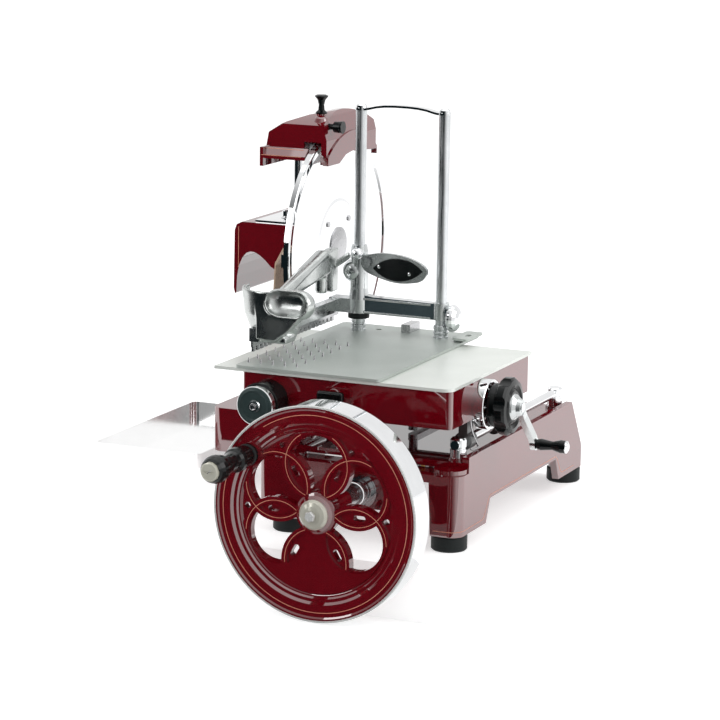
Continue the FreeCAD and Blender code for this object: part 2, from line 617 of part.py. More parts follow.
def handle_parts():
    x, z = polar(S.wheel_x, S.wheel_z, S.handle_circle, S.handle_angle.value)
    foot = S.wheel_face_y + 1.5
    socket = S.socket_length
    rim = S.socket_radius
    spindle = S.spindle_radius
    spindle_length = socket + S.grip_length - 9
    keep("handle_spindle", turned("spindle", "-Y", (x, foot, z),
                                  [(0, 0), (0, rim), (socket - 2, rim), (socket, rim - 2), (socket, spindle),
                                   (spindle_length, spindle), (spindle_length, 0)]))
    bore = spindle + S.running_fit
    start = foot - socket - S.face_gap
    length = S.grip_length
    widest = S.grip_radius
    profile = [(0, bore), (length - 8, bore), (length - 8, 0), (length - 2, 0), (length - 2, 10.5),
               (length - 2, 12.5), (length - 6, widest - 2.6), (length - 12, widest - 0.6), (length - 18, widest),
               (length - 26, widest - 1.2), (length - 34, widest - 3.6), (length - 44, 12), (length - 56, 11.6),
               (length - 62, 12.6), (length - 66, 15), (length - 72, 15.5), (4, 13.5), (0, 12)]
    grip = turned("grip", "-Y", (x, start, z), profile)
    cap = turned("grip_cap_disc", "-Y", (x, start - length + 2, z),
                 [(0, 0), (0, 11.4), (2, 11.4), (3, 10), (3, 0)])
    slot = box("grip_cap_slot", (x - 7, x + 7), (start - length - 2, start - length - 0.2), (z - 0.8, z + 0.8))
    keep("handle_grip", together("grip_and_cap", grip, cut("grip_cap", cap, slot)))


def front_bearing():
    length = S.bearing_length
    radius = S.bearing_radius
    bore = S.shaft_radius + S.running_fit
    profile = [(0, bore), (length, bore), (length, radius - 2.5), (length - 1, radius - 1.5),
               (length - 4, radius - 1.5), (length - 4.5, radius - 3), (length - 7, radius - 3),
               (length - 7.5, radius), (length - 12, radius), (length - 12.5, radius - 2), (length - 15, radius - 2),
               (length - 15.5, radius + 1), (4, radius + 1), (4, radius + 6), (0, radius + 6)]
    return keep("front_bearing", turned("front_bearing_collars", "-Y",
                                        (S.wheel_x, S.base_front, S.wheel_z), profile))


def shaft_lugs():
    """Lugs cast under the deck that carry the two level shafts."""
    low = S.wheel_z - 20
    lugs = []
    for number, y in enumerate(main_lug_places, start=1):
        lugs.append(box(f"main_lug_{number}", (S.wheel_x - 20, S.wheel_x + 20), (y, y + S.lug_width),
                        (low, deck_bottom + 2)))
    for number, x in enumerate(cross_lug_places, start=1):
        lugs.append(box(f"cross_lug_{number}", (x, x + S.lug_width), (S.cross_y - 18, S.cross_y + 18),
                        (low, deck_bottom + 2)))
    return lugs


def bushes():
    """Bronze bushes of the two level shafts, the crank and the knife shaft."""
    pieces = []
    for number, y in enumerate(main_lug_places, start=1):
        pieces.append(tube(f"main_bush_{number}", "+Y", (S.wheel_x, y, S.wheel_z), S.lug_width,
                           S.shaft_radius + S.bush_wall, S.shaft_radius + S.running_fit))
    for number, x in enumerate(cross_lug_places, start=1):
        pieces.append(tube(f"cross_bush_{number}", "+X", (x, S.cross_y, S.wheel_z), S.lug_width,
                           S.crank_shaft_radius + S.bush_wall, S.crank_shaft_radius + S.running_fit))
    pieces.append(tube("crank_bush", "+Z", (S.wheel_x, S.crank_y, deck_bottom), S.deck_thickness + 1,
                       S.crank_shaft_radius + S.bush_wall, S.crank_shaft_radius + S.running_fit))
    outer = S.knife_shaft_radius + S.bush_wall
    bore = S.knife_shaft_radius + S.running_fit
    pieces.append(tube("right_knife_bush", "-X", (S.head_right, S.blade_y, S.blade_z), 12, outer, bore))
    pieces.append(tube("left_knife_bush", "+X", (S.head_left + 12, S.blade_y, S.blade_z), 16, outer, bore))
    return keep("shaft_bushes", together("bushes", *pieces))


# ---------------------------------------------------------------- crank, cross shaft, chain

def crank():
    top = S.deck_top + 3
    low = S.wheel_z + gear_inner + 2
    spindle = rod("crank_spindle", "+Z", (S.wheel_x, S.crank_y, low), top - low + S.crank_arm_thickness,
                  S.crank_shaft_radius)
    hub = rod("arm_hub", "+Z", (S.wheel_x, S.crank_y, top), S.crank_arm_thickness, S.crank_shaft_radius + 6)
    tip = rod("arm_tip", "+Z", (S.wheel_x, S.crank_y - S.crank_radius, top), S.crank_arm_thickness,
              S.roller_radius + 1)
    bar = box("arm_bar", (S.wheel_x - 7, S.wheel_x + 7), (S.crank_y - S.crank_radius, S.crank_y),
              (top, top + S.crank_arm_thickness))
    start = top + S.crank_arm_thickness
    roller = rod("crank_roller", "+Z", (S.wheel_x, S.crank_y - S.crank_radius, start), S.roller_top - start,
                 S.roller_radius)
    keep("crankshaft", together("crankshaft_and_roller", fuse("crank_forging", spindle, hub, tip, bar), roller))


def cross_shaft():
    end = S.chain_x - 14
    start = S.wheel_x - gear_inner - 2
    keep("cross_shaft", rod("cross_spindle", "-X", (start, S.cross_y, S.wheel_z), start - end,
                            S.crank_shaft_radius))


def sprocket(name, y, z, radius, teeth, bore):
    """A chain wheel facing X, with square teeth."""
    inner = radius.value - 3.0
    half = S.chain_width.value / 2 - 1.5
    blank = Part.makeCylinder(inner, 2 * half, FreeCAD.Vector(0, 0, -half))
    tooth = Part.makeBox(4.0, 3.0, 2 * half, FreeCAD.Vector(inner - 1.0, -1.5, -half))
    ring = [tooth.copy() for _ in range(teeth)]
    for number, copy in enumerate(ring):
        copy.rotate(FreeCAD.Vector(), FreeCAD.Vector(0, 0, 1), 360.0 * number / teeth)
    wheel = blank.fuse(ring).cut(Part.makeCylinder(bore.value, 40, FreeCAD.Vector(0, 0, -20)))
    obj = shaped(name + "_toothed", wheel.removeSplitter())
    obj.Placement = FreeCAD.Placement(FreeCAD.Vector(), TURNS["+X"])
    place(obj, (S.chain_x, y, z))
    return keep(name, obj)


def belt_outline(y1, z1, r1, y2, z2, r2):
    """The closed outline of a chain round two wheels, in the YZ plane."""
    span = math.hypot(y2 - y1, z2 - z1)
    heading = math.atan2(z2 - z1, y2 - y1)
    lean = math.acos((r1 - r2) / span)

    def at(y, z, radius, angle):
        return FreeCAD.Vector(0, y + radius * math.cos(angle), z + radius * math.sin(angle))

    a1, a2 = at(y1, z1, r1, heading + lean), at(y1, z1, r1, heading - lean)
    b1, b2 = at(y2, z2, r2, heading + lean), at(y2, z2, r2, heading - lean)
    low = Part.Arc(a1, at(y1, z1, r1, heading + math.pi), a2).toShape()
    high = Part.Arc(b2, at(y2, z2, r2, heading), b1).toShape()
    return Part.Wire([low, Part.makeLine(a2, b2), high, Part.makeLine(b1, a1)])


def drive_chain():
    centres = (S.cross_y.value, S.wheel_z.value), (S.blade_y.value, S.blade_z.value)
    gap = S.chain_gap.value

    def loop(extra):
        (y1, z1), (y2, z2) = centres
        return Part.Face(belt_outline(y1, z1, S.lower_chain_radius.value + extra,
                                      y2, z2, S.upper_chain_radius.value + extra))

    ring = loop(gap + S.chain_thickness.value).cut(loop(gap))
    shape = ring.extrude(FreeCAD.Vector(S.chain_width.value, 0, 0))
    obj = shaped("chain_loop", shape)
    place(obj, (S.chain_x - S.chain_width / 2, 0, 0))
    return keep("drive_chain", obj)


# ---------------------------------------------------------------- blade and its carrier

def blade():
    radius = S.blade_radius
    thick = S.blade_thickness
    profile = [(0, S.knife_shaft_radius), (0, 62), (1.2, 66), (1.2, radius - 22), (0.2, radius - 14), (0, radius),
               (0.6, radius), (thick - 1, radius - 16), (thick, radius - 26), (thick, S.knife_shaft_radius)]
    keep("blade", turned("blade_disc", "-X", (S.blade_x, S.blade_y, S.blade_z), profile))
    nut = turned("blade_nut_cap", "+X", (S.blade_x, S.blade_y, S.blade_z),
                 [(0, 0), (0, 26), (1.5, 26), (3, 20), (4.5, 10), (5, 0)])
    screws = []
    for number, degrees in enumerate((45, 135, 225, 315)):
        y, z = polar(S.blade_y, S.blade_z, 48, degrees)
        screws.append(rod(f"blade_screw_{number}", "+X", (S.blade_x, y, z), 1.6, 4))
    keep("blade_fasteners", together("blade_nut_and_screws", nut, *screws))
    end = S.head_left + 10
    keep("knife_shaft", rod("knife_spindle", "-X", (S.blade_x, S.blade_y, S.blade_z), S.blade_x - end,
                            S.knife_shaft_radius))


def guard_ring():
    outer = guard_radius
    inner = outer - S.guard_thickness
    start = S.blade_x + 1
    hoop = turned("guard_hoop", "-X", (start, S.blade_y, S.blade_z),
                  [(0, inner + 1), (1, inner), (S.guard_width, inner), (S.guard_width, outer),
                   (1, outer), (0, outer - 1)])
    arms = []
    near = start - S.guard_width
    for name, side in (("front", -1), ("back", 1)):
        edge = S.blade_y + side * (inner + 1)
        wall = S.blade_y + side * 74
        low, high = (edge, wall) if side < 0 else (wall, edge)
        arms.append(box(f"{name}_guard_arm", (near - 5, near + 0.01), (low, high),
                        (S.blade_z - 9, S.blade_z + 9)))
        step = (wall, wall + 10) if side < 0 else (wall - 10, wall)
        arms.append(box(f"{name}_guard_lug", (S.head_right, near + 0.01), step,
                        (S.blade_z - 9, S.blade_z + 9)))
    return keep("guard_ring", fuse("guard", hoop, *arms))


def carrier():
    left, right = S.head_left, S.head_right
    bottom, top = S.head_bottom, S.head_top
    outline = [(left, bottom + 2), (left + 1, top - 12), (left + 4, top - 4), (left + 12, top), (right, top),
               (right, bottom + 26), (right - 30, bottom + 29), (right - 43, bottom + 36),
               (right - 51, bottom + 44), (right - 59, bottom + 50), (right - 67, bottom + 54),
               (right - 74, bottom + 54.5), (right - 80, bottom + 52), (right - 86, bottom + 45),
               (right - 91, bottom + 34), (right - 94, bottom + 18), (right - 95, bottom - 4),
               (left + 2, bottom - 6)]
    head = padded("head_block", "XZ", outline, S.head_front + S.head_depth, S.head_depth)
    half = S.column_width / 2
    low, high = S.chain_x - 15, S.chain_x + half
    leaning = [(S.cross_y - 44, S.deck_top), (S.cross_y + 61, S.deck_top), (S.blade_y + 40, bottom + 50),
               (S.blade_y - 60, bottom + 50)]
    column = padded("carrier_column", "YZ", leaning, low, high - low)
    flange = box("carrier_foot", (low - 8, high + 8), (S.cross_y - 54, S.cross_y + 71),
                 (S.deck_top, S.deck_top + 8))
    wall = S.column_wall
    inner = [(S.cross_y - 42 + wall, S.deck_top - 5), (S.cross_y + 59 - wall, S.deck_top - 5),
             (S.blade_y + 32, S.blade_z + 26), (S.blade_y - 32, S.blade_z + 26)]
    hollow = padded("carrier_hollow", "YZ", inner, S.chain_x - 11, 22)
    shaft = rod("carrier_bore", "-X", (S.blade_x, S.blade_y, S.blade_z), S.blade_x - left + 10,
                S.knife_shaft_radius + S.bush_wall)
    return keep("blade_carrier", cut("carrier_body", fuse("carrier_whole", head, column, flange), hollow, shaft))


def gear_cover():
    radius = S.cover_radius
    dome = turned("cover_dome", "-X", (S.head_left, S.blade_y, S.blade_z - 12),
                  [(0, 0), (0, radius), (3, radius - 0.5), (6, radius - 4), (8, radius - 12), (8.5, 0)])
    return keep("gear_cover", dome)


def head_plate():
    plate = box("head_plate_flat", (S.head_left + 30, S.head_right - 4), (S.head_front + 4, S.head_front + 116),
                (S.head_top, S.head_top + 3.5))
    x, y = S.head_left + 72, S.head_front + 16
    knob = turned("plate_knob", "+Z", (x, y, S.head_top + 3.5),
                  [(0, 0), (0, 3.5), (3, 3.5), (3.6, 7), (5, 7.5), (6, 6), (7, 5.5), (14, 5.5),
                   (15.5, 4), (15.5, 0)])
    clear = [rod(f"plate_post_hole_{number}", "+Z", (post_x, yy, S.head_top - 5), 20,
                 S.hood_post_radius + S.running_fit) for number, yy in enumerate(post_places)]
    flat = cut("head_plate_pierced", soften("head_plate_rounded", plate, 1.2, runs_along(Z_WAY)), *clear)
    keep("head_plate", together("head_plate_and_knob", flat, knob))


def slice_deflector():
    """The bent sheet behind the blade that throws the slice onto the tray."""
    x = S.blade_x - 34
    z = S.blade_z - 48
    outline = [(x, z), (x + 2, z), (x + 4, z + 38), (x + 16, z + 60), (x + 14, z + 62), (x + 2, z + 40)]
    body = padded("deflector_sheet", "XZ", outline, S.head_front - 3, 58)
    arm = box("deflector_arm", (S.head_right - 24, x + 4), (S.head_front - 24, S.head_front), (z + 28, z + 36))
    return keep("slice_deflector", fuse("deflector", body, arm))


# ---------------------------------------------------------------- sharpener

def sharpener():
    right, left = S.hood_right, S.hood_left
    depth = S.hood_back - S.hood_front
    top = S.blade_z + hood_radius
    outline = [(left, hood_bottom), (left + 4, hood_bottom + 22), (left + 28, top - 13), (left + 50, top - 5),
               (right - 14, top), (right - 8, top - 5), (right, hood_bottom + 14), (right, hood_bottom - 8),
               (right - 4, hood_bottom - 8), (right - 12, hood_bottom)]
    solid = padded("hood_block", "XZ", outline, S.hood_back, depth)
    round_top = rod("hood_round", "-X", (right + 10, S.blade_y, S.blade_z), right - left + 20, hood_radius)
    arched = common("hood_arched", solid, round_top)
    wall = S.hood_wall
    throat = rod("hood_throat", "-X", (right - wall - 4, S.blade_y, S.blade_z), 26, guard_radius + 7)
    cavity = box("hood_cavity", (left + wall, right - wall - 4), (S.hood_front + wall, S.hood_back - wall),
                 (hood_bottom - 40, hood_bottom + 17))
    skirt_gap = rod("skirt_gap", "-X", (right + 5, S.blade_y + 8, S.blade_z - 12), 30, S.blade_radius - 6)
    eave_outline = [(S.hood_front - 11, hood_bottom - 8), (S.hood_front - 11, hood_bottom - 13),
                    (S.hood_front - 8, hood_bottom - 13), (S.hood_front - 8, hood_bottom - 9),
                    (S.hood_front + 3, hood_bottom - 3), (S.hood_front + 3, hood_bottom + 2),
                    (S.hood_front, hood_bottom + 2)]
    eave = padded("hood_eave", "YZ", eave_outline, left - 4, 68)
    side = box("hood_side", (left - 4, left + 1), (S.hood_front - 11, S.hood_back), (hood_bottom - 24, hood_bottom + 2))
    edge = S.blade_z + S.blade_radius
    near, far = S.hood_front + 2, S.hood_back
    middle = (near + far) / 2
    half = (far - near) / 2
    arc_height = S.skirt_height
    arc_radius = (half * half + arc_height * arc_height) / (2 * arc_height)
    skirt_round = rod("skirt_round", "-X", (right + 5, middle, edge + 11 - arc_radius), 20, arc_radius)
    skirt_hollow = padded("skirt_hollow", "YZ",
                          [(near + 39, edge - 30), (near + 39, edge - 29), (near + 58, edge - 20),
                           (middle, edge - 17), (far - 22, edge - 22), (far - 2, edge - 23), (far - 2, edge - 30)],
                          right - 10, 20)
    skirt = cut("skirt", common("skirt_arc", box("skirt_blank", (right - 6, right + 2), (near, far),
                                                 (edge - 30, edge + 12)), skirt_round), skirt_hollow)
    front_end = box("skirt_end", (right - 10, right + 2), (near, near + 4), (edge - 29, edge - 19))
    knob_foot = S.blade_z + hood_radius - 7
    radius = S.hood_knob_radius
    height = S.hood_knob_height
    x, y = S.blade_x - 2, S.blade_y - 56
    boss = turned("knob_boss", "+Z", (x, y, knob_foot - 6), [(0, 0), (0, 12), (6, 9), (9, 6), (12, 7), (12, 0)])
    shell = fuse("hood_shell", cut("hood_open", arched, throat, cavity, skirt_gap), eave, side, boss, skirt,
                 front_end)
    button_y, button_z = S.blade_y - 56, S.blade_z + S.blade_radius + 22
    button_hole = rod("button_hole", "-X", (right + 5, button_y, button_z), 17, 4 + S.sliding_fit)
    keep("sharpener_hood", cut("hood", shell, button_hole))
    keep("hood_lift_knob", turned("lift_knob", "+Z", (x, y, knob_foot + 6),
                                  [(0, 0), (0, 8), (2, 8), (5, 4.5), (height - 14, 3.8), (height - 7, 5.5),
                                   (height - 3, radius), (height - 1.5, radius + 0.5), (height, radius - 3),
                                   (height, 0)]))
    reach = S.button_travel + S.face_gap
    button = turned("button_turned", "+X", (right, button_y, button_z),
                    [(-8, 0), (-8, 4), (reach, 4), (reach, 7.5), (reach + 9, 8), (reach + 11, 6.5), (reach + 11, 0)])
    ring = tube("button_ring", "+X", (right + reach + 11, button_y, button_z), 1.5, 8.5, 0.5)
    keep("stone_button", together("button_and_ring", button, ring))
    ceiling = hood_bottom + 17
    posts = [rod(f"hood_post_{number}", "+Z", (post_x, yy, S.head_top), ceiling - S.face_gap - S.head_top,
                 S.hood_post_radius) for number, yy in enumerate(post_places)]
    keep("hood_posts", together("hood_post_pair", *posts))
    stone_z = S.blade_z + S.blade_radius - 8
    stone_back = S.blade_x - 10 - S.stone_thickness
    plate = box("stone_plate", (post_x - 12, stone_back - 10), (S.blade_y - 38, S.blade_y + 38),
                (stone_z - 6, ceiling))
    parts = []
    for number, yy in enumerate((S.blade_y - 24, S.blade_y + 24)):
        parts.append(rod(f"stone_spindle_{number}", "-X", (S.blade_x - 11, yy, stone_z), 20, 3))
    post_holes = [rod(f"post_hole_{number}", "+Z", (post_x, yy, stone_z - 10), 40,
                      S.hood_post_radius + S.sliding_fit)
                  for number, yy in enumerate(post_places)]
    keep("stone_holder", cut("stone_carrier", fuse("stone_carrier_whole", plate, *parts), *post_holes))
    for node, yy in (("grinding_stone", S.blade_y - 24), ("deburring_stone", S.blade_y + 24)):
        keep(node, tube(node + "_disc", "-X", (S.blade_x - 10, yy, stone_z), S.stone_thickness, S.stone_radius,
                        3 + S.running_fit))


# ---------------------------------------------------------------- receiving tray

def tray():
    outline = [(S.tray_left, S.tray_front), (S.tray_right, S.tray_front), (S.tray_right, S.tray_back),
               (S.tray_left, S.tray_back)]
    wall = S.tray_wall
    outer = padded("tray_outer", "XY", outline, S.tray_bottom, S.tray_rim, 10)
    hollow = [(S.tray_left + wall, S.tray_front + wall), (S.tray_right - wall, S.tray_front + wall),
              (S.tray_right - wall, S.tray_back - wall), (S.tray_left + wall, S.tray_back - wall)]
    inner = padded("tray_inner", "XY", hollow, S.tray_bottom + wall, S.tray_rim + 5, 8)
    arms = []
    for number, y in enumerate((S.arch_back + 12, S.tray_back - 26)):
        arms.append(box(f"tray_arm_{number}", (S.tray_left + 50, S.wing_left), (y, y + 16),
                        (S.tray_bottom - 5, S.tray_bottom + 0.5)))
    keep("receiving_tray", fuse("tray_with_arms", cut("tray_pan", outer, inner), *arms))


# ---------------------------------------------------------------- carriage

def carriage_box():
    outline = [(S.box_left, S.box_front), (S.box_right, S.box_front), (S.box_right, S.box_back),
               (S.box_left, S.box_back)]
    outer = padded("box_outer", "XY", outline, S.box_bottom, S.box_top - S.box_bottom, S.box_edge_radius)
    wall = S.box_wall
    hollow = [(S.box_left + wall, S.box_front + wall), (S.box_right - wall, S.box_front + wall),
              (S.box_right - wall, S.box_back - wall), (S.box_left + wall, S.box_back - wall)]
    inner = padded("box_inner", "XY", hollow, box_floor, S.box_top - box_floor + 5, 4)
    screw_hole = rod("box_screw_hole", "+X", (S.box_right - 20, S.screw_y, S.screw_z), 40, S.screw_radius + 3)
    collar = turned("release_collar", "-Y", (S.release_x, S.box_front, S.release_z),
                    [(-1, 0), (-1, 8), (2.5, 8), (3.4, 7), (3.4, 0)])
    stem_hole = rod("release_hole", "-Y", (S.release_x, S.box_front + wall + 5, S.release_z), wall + 15,
                    S.release_stem + S.sliding_fit)
    keep("carriage_box", cut("box_with_collar", fuse("box_whole", cut("box_shell", outer, inner), collar),
                             screw_hole, stem_hole))


def carriage_table():
    outline = [(S.table_left, S.table_front), (S.table_right, S.table_front), (S.table_right, S.table_back),
               (S.table_left, S.table_back)]
    plate = padded("lower_plate", "XY", outline, table_bottom, S.table_thickness, 14,
                   lambda middle: middle.x > -100 and middle.y < 100)
    slot = box("nut_slot", (nut_x - 14 - S.feed_travel_in, nut_x + 14 + S.feed_travel_out),
               (S.screw_y - 10, S.screw_y + 10), (table_bottom - 5, table_top + 5))
    keep("carriage_table", cut("lower_plate_slotted", plate, slot))


def underframe():
    """What is bolted under the carriage: the bars that the crank roller drives, and the runners."""
    y = S.crank_y - S.crank_radius
    slot = S.roller_radius + S.face_gap
    low = S.roller_top + S.face_gap
    across = (S.wheel_x - S.yoke_half_length, S.wheel_x + S.yoke_half_length)
    pieces = [box("yoke_front_bar", across, (y - slot - S.yoke_bar, y - slot), (low, S.box_bottom)),
              box("yoke_back_bar", across, (y + slot, y + slot + S.yoke_bar), (low, S.box_bottom))]
    for side, x in (("right", S.right_rod_x), ("left", S.left_rod_x)):
        for end, start in (("front", S.post_front_y + 14), ("back", S.post_front_y + 118)):
            name = f"{side}_{end}_runner"
            ring = rod(name + "_ring", "+Y", (x, start, rod_z), S.bearing_block, S.bearing_ring)
            neck = box(name + "_neck", (x - 6, x + 6), (start, start + S.bearing_block),
                       (rod_z, S.box_bottom))
            hole = rod(name + "_hole", "+Y", (x, start - 5, rod_z), S.bearing_block + 10,
                       S.rod_radius + S.sliding_fit)
            pieces.append(cut(name, fuse(name + "_whole", ring, neck), hole))
    keep("carriage_underframe", together("underframe_pieces", *pieces))


nut_x = S.feed_left + 82


def feed_screw():
    start = S.box_left + S.box_wall + S.face_gap
    end = arm_start + S.arm_thickness
    screw = rod("screw_core", "+X", (start, S.screw_y, S.screw_z), end - start, S.screw_radius)
    keep("feed_screw", screw)
    bush = tube("screw_bush", "-X", (S.box_right + 2, S.screw_y, S.screw_z), S.box_wall + 3, S.screw_radius + 3,
                S.screw_radius + S.running_fit)
    block = tube("screw_end_bearing", "+X", (S.box_left + S.box_wall, S.screw_y, S.screw_z), 12,
                 S.screw_radius + 4, S.screw_radius + S.running_fit)
    keep("screw_bearings", together("screw_bearing_pair", bush, block))
    outer = S.dial_radius
    inner = outer - S.dial_wall
    ring = turned("dial_tube", "+X", (S.box_right, S.screw_y, S.screw_z),
                  [(0, inner), (S.dial_length - 1, inner), (S.dial_length, inner + 1), (S.dial_length, outer - 1),
                   (S.dial_length - 1, outer), (0, outer)])
    windows = []
    for step in (-1, 0, 1):
        y = S.screw_y - outer * 0.5 + step * 0.9
        window = rod(f"dial_window_{step + 1}", "+Z", (S.box_right + 9 + step * 2.2, y, S.screw_z), outer + 5, 2.4)
        windows.append(window)
    keep("dial_ring", cut("dial", ring, *windows))
    rim = S.handwheel_radius
    width = S.handwheel_width
    disc = turned("handwheel_disc", "+X", (handwheel_start, S.screw_y, S.screw_z),
                  [(0, S.screw_radius), (0, 26), (2, 27.5), (5, 28), (12, 26), (13, rim - 3), (16, rim),
                   (width - 4, rim), (width - 1, rim - 3), (width, rim - 9), (width - 3, 24), (width, 20),
                   (width, S.screw_radius)])
    scallops = []
    for number in range(7):
        y, z = polar(S.screw_y, S.screw_z, rim + 11, 360.0 / 7 * number + 10)
        scallops.append(rod(f"scallop_{number}", "+X", (handwheel_start - 6, y, z), width + 10, 15))
    keep("feed_handwheel", cut("handwheel", disc, *scallops))


def feed_crank():
    """The arm hangs down and a little to the back."""
    degrees = -61.0
    hub = turned("arm_boss", "+X", (handwheel_end, S.screw_y, S.screw_z),
                 [(0, S.screw_radius), (0, 17), (2, 16), (6, 12), (11, 10), (11, S.screw_radius)])
    y, z = polar(S.screw_y, S.screw_z, S.arm_length, degrees)
    tip = rod("arm_end", "+X", (arm_start + S.arm_lean, y, z), S.arm_thickness, 8)
    length = S.arm_length.value
    lean, thick = S.arm_lean.value, S.arm_thickness.value
    corners = [FreeCAD.Vector(along, out, -5.5) for along, out in
               ((0, 8), (thick, 8), (thick + 1, 16), (thick + lean, length - 10), (thick + lean, length),
                (lean, length), (lean - 1, length - 10), (0, 18))]
    bar = Part.Face(Part.makePolygon(corners + corners[:1])).extrude(FreeCAD.Vector(0, 0, 11))
    bar.rotate(FreeCAD.Vector(), FreeCAD.Vector(1, 0, 0), degrees)
    shank = shaped("arm_shank", bar)
    place(shank, (arm_start, S.screw_y, S.screw_z))
    pin = rod("grip_pin", "+X", (arm_start + S.arm_lean, y, z), S.arm_thickness + S.crank_grip_length - 3, 3)
    keep("feed_crank", fuse("feed_arm", hub, tip, shank, pin))
    bore = 3 + S.running_fit
    length = S.crank_grip_length
    radius = S.crank_grip_radius
    profile = [(0, bore), (length - 2.5, bore), (length - 2.5, 0), (length, 0), (length, radius - 3),
               (length - 2, radius), (length - 10, radius + 0.5), (length * 0.5, radius - 2.5),
               (6, radius - 0.5), (1, radius - 1.5), (0, radius - 2.5)]
    keep("crank_grip", turned("feed_grip", "+X", (grip_start, y, z), profile))


def thickness_control():
    start = S.box_front
    bore = 5 + S.running_fit
    keep("thickness_drum", turned("drum", "-Y", (S.knob_x, start, S.knob_z),
                                  [(0, bore), (S.drum_length, bore), (S.drum_length, S.drum_radius - 1),
                                   (S.drum_length - 1, S.drum_radius), (0, S.drum_radius)]))
    face = start - S.drum_length - S.face_gap
    radius = S.knob_radius
    width = S.knob_width
    inner = S.face_gap - S.drum_length
    keep("thickness_knob", turned("thickness_disc", "-Y", (S.knob_x, face, S.knob_z),
                                  [(inner, 0), (inner, 5), (0, 5), (0, radius - 1), (1, radius),
                                   (width - 3, radius), (width - 1, radius - 2), (width, radius - 5),
                                   (width - 1.5, radius - 8), (width - 1.5, 8), (width, 7), (width + 2, 6),
                                   (width + 2, 0)]))


def release_control():
    """Pulled towards the operator, it frees the carriage from the crank."""
    x, z = S.release_x, S.release_z
    half = S.release_length / 2
    outside = S.box_front - 8
    inside = S.box_front + S.box_wall + S.release_travel + S.face_gap
    stem = rod("release_stem", "-Y", (x, inside, z), inside - outside, S.release_stem)
    head = rod("release_head", "+Y", (x, inside, z), 2.5, S.release_stem + 2.5)
    bar = box("release_bar", (x - half, x + half), (outside - 10, outside), (z - 6.5, z + 6.5))
    rounded_bar = soften("release_bar_rounded", bar, 4, lambda edge: isinstance(edge.Curve, Part.Line))
    keep("release_knob", fuse("release", stem, head, rounded_bar))


# ---------------------------------------------------------------- feed table, pins and columns

def feed_table():
    left, right = S.feed_left, S.feed_right
    outline = [(left, S.feed_front), (right, S.feed_front), (right, S.feed_back), (left, S.feed_back)]
    plate = padded("upper_plate", "XY", outline, feed_bottom, S.feed_thickness, 6)
    sight = rod("plate_hole", "+Z", (left + 65, S.columns_y + 14, feed_bottom - 5), 20, 4)
    lip_y = S.columns_y - 22
    lip = padded("lip_plate", "XY", [(right - 14, lip_y), (right + 10, lip_y - 6), (right + 10, lip_y + 54),
                                     (right - 14, lip_y + 54)], feed_top + 3, 3, 5)
    riser = box("lip_riser", (right - 14, right - 8), (lip_y + 8, lip_y + 50), (feed_top, feed_top + 3.5))
    holes = [rod(f"lip_hole_{step}", "+Z", (right + 0.5, lip_y + 20 + step * 3, feed_top), 10, 3.6)
             for step in range(3)]
    keep("feed_table", cut("table_pierced", fuse("table_with_lip", plate, lip, riser), sight, *holes))
    pins = []
    for column in range(int(S.pin_rows.value)):
        for line in range(int(S.pins_in_row.value)):
            pins.append(taper(f"pin_{column}_{line}", "+Z",
                              (left + 8 + S.pin_pitch_x * column, S.feed_front + 24 + S.pin_pitch_y * line, feed_top),
                              S.pin_height, S.pin_radius, 0.4))
    keep("gripping_pins", together("pins", *pins))
    stop = box("stop_block_piece", (S.right_column_x - 61, S.right_column_x - 48),
               (S.columns_y + 8, S.columns_y + 42), (feed_top, feed_top + 11))
    ring = tube("cushion", "+Z", (S.left_column_x, S.columns_y, feed_top + S.collar_height), S.ring_height,
                S.ring_radius, S.column_radius)
    keep("rubber_stops", together("block_and_ring", stop, ring))
    nut = box("feed_nut_block", (nut_x - 12, nut_x + 12), (S.screw_y - 12, S.screw_y + 12),
              (S.screw_z - 10, table_bottom - 2))
    neck = box("feed_nut_neck", (nut_x - 12, nut_x + 12), (S.screw_y - 8, S.screw_y + 8),
               (table_bottom - 3, feed_bottom))
    hole = rod("feed_nut_hole", "+X", (nut_x - 20, S.screw_y, S.screw_z), 40, S.screw_radius + S.sliding_fit)
    keep("feed_nut", cut("screw_nut", fuse("nut_whole", nut, neck), hole))


def columns():
    y = S.columns_y
    height = S.collar_height
    length = S.column_top - feed_top
    wide, thin = S.collar_radius, S.column_radius
    profile = [(0, 0), (0, wide), (2, wide), (3, wide - 1), (5, wide - 1), (6, wide), (8, wide), (9, wide - 1),
               (11, wide - 1), (12, wide), (height - 1, wide), (height, wide - 1), (height, thin), (length, thin),
               (length, 0)]
    pair = [turned(f"{side}_column", "+Z", (x, y, feed_top), profile)
            for side, x in (("left", S.left_column_x), ("right", S.right_column_x))]
    keep("columns", together("column_pair", *pair))
    half = S.strap_width / 2
    left, right = S.left_column_x, S.right_column_x
    under, over, rise = S.column_top, S.column_top + S.strap_thickness, S.strap_rise
    run = right - left
    bow = ((0, 0), (0.07, 0), (0.12, 0.2), (0.2, 0.6), (0.3, 0.88), (0.42, 1), (0.58, 1), (0.7, 0.88), (0.8, 0.6),
           (0.88, 0.2), (0.93, 0), (1, 0))
    bow_outline = [(left + run * along, over + rise * height) for along, height in bow]
    bow_outline += [(left + run * along, under + rise * height) for along, height in reversed(bow)]
    bar = padded("strap_bar", "XZ", bow_outline, y + half, S.strap_width)
    ends = [rod(f"{side}_strap_end", "+Z", (x, y, S.column_top), S.strap_thickness, half + 2)
            for side, x in (("left", S.left_column_x), ("right", S.right_column_x))]
    keep("top_strap", fuse("strap", bar, *ends))
    nuts = [turned(f"{side}_cap_nut", "+Z", (x, y, S.column_top + S.strap_thickness),
                   [(0, 0), (0, 7.5), (3, 7.5), (5, 5), (5.5, 0)])
            for side, x in (("left", S.left_column_x), ("right", S.right_column_x))]
    keep("cap_nuts", together("cap_nut_pair", *nuts))


# ---------------------------------------------------------------- meat press

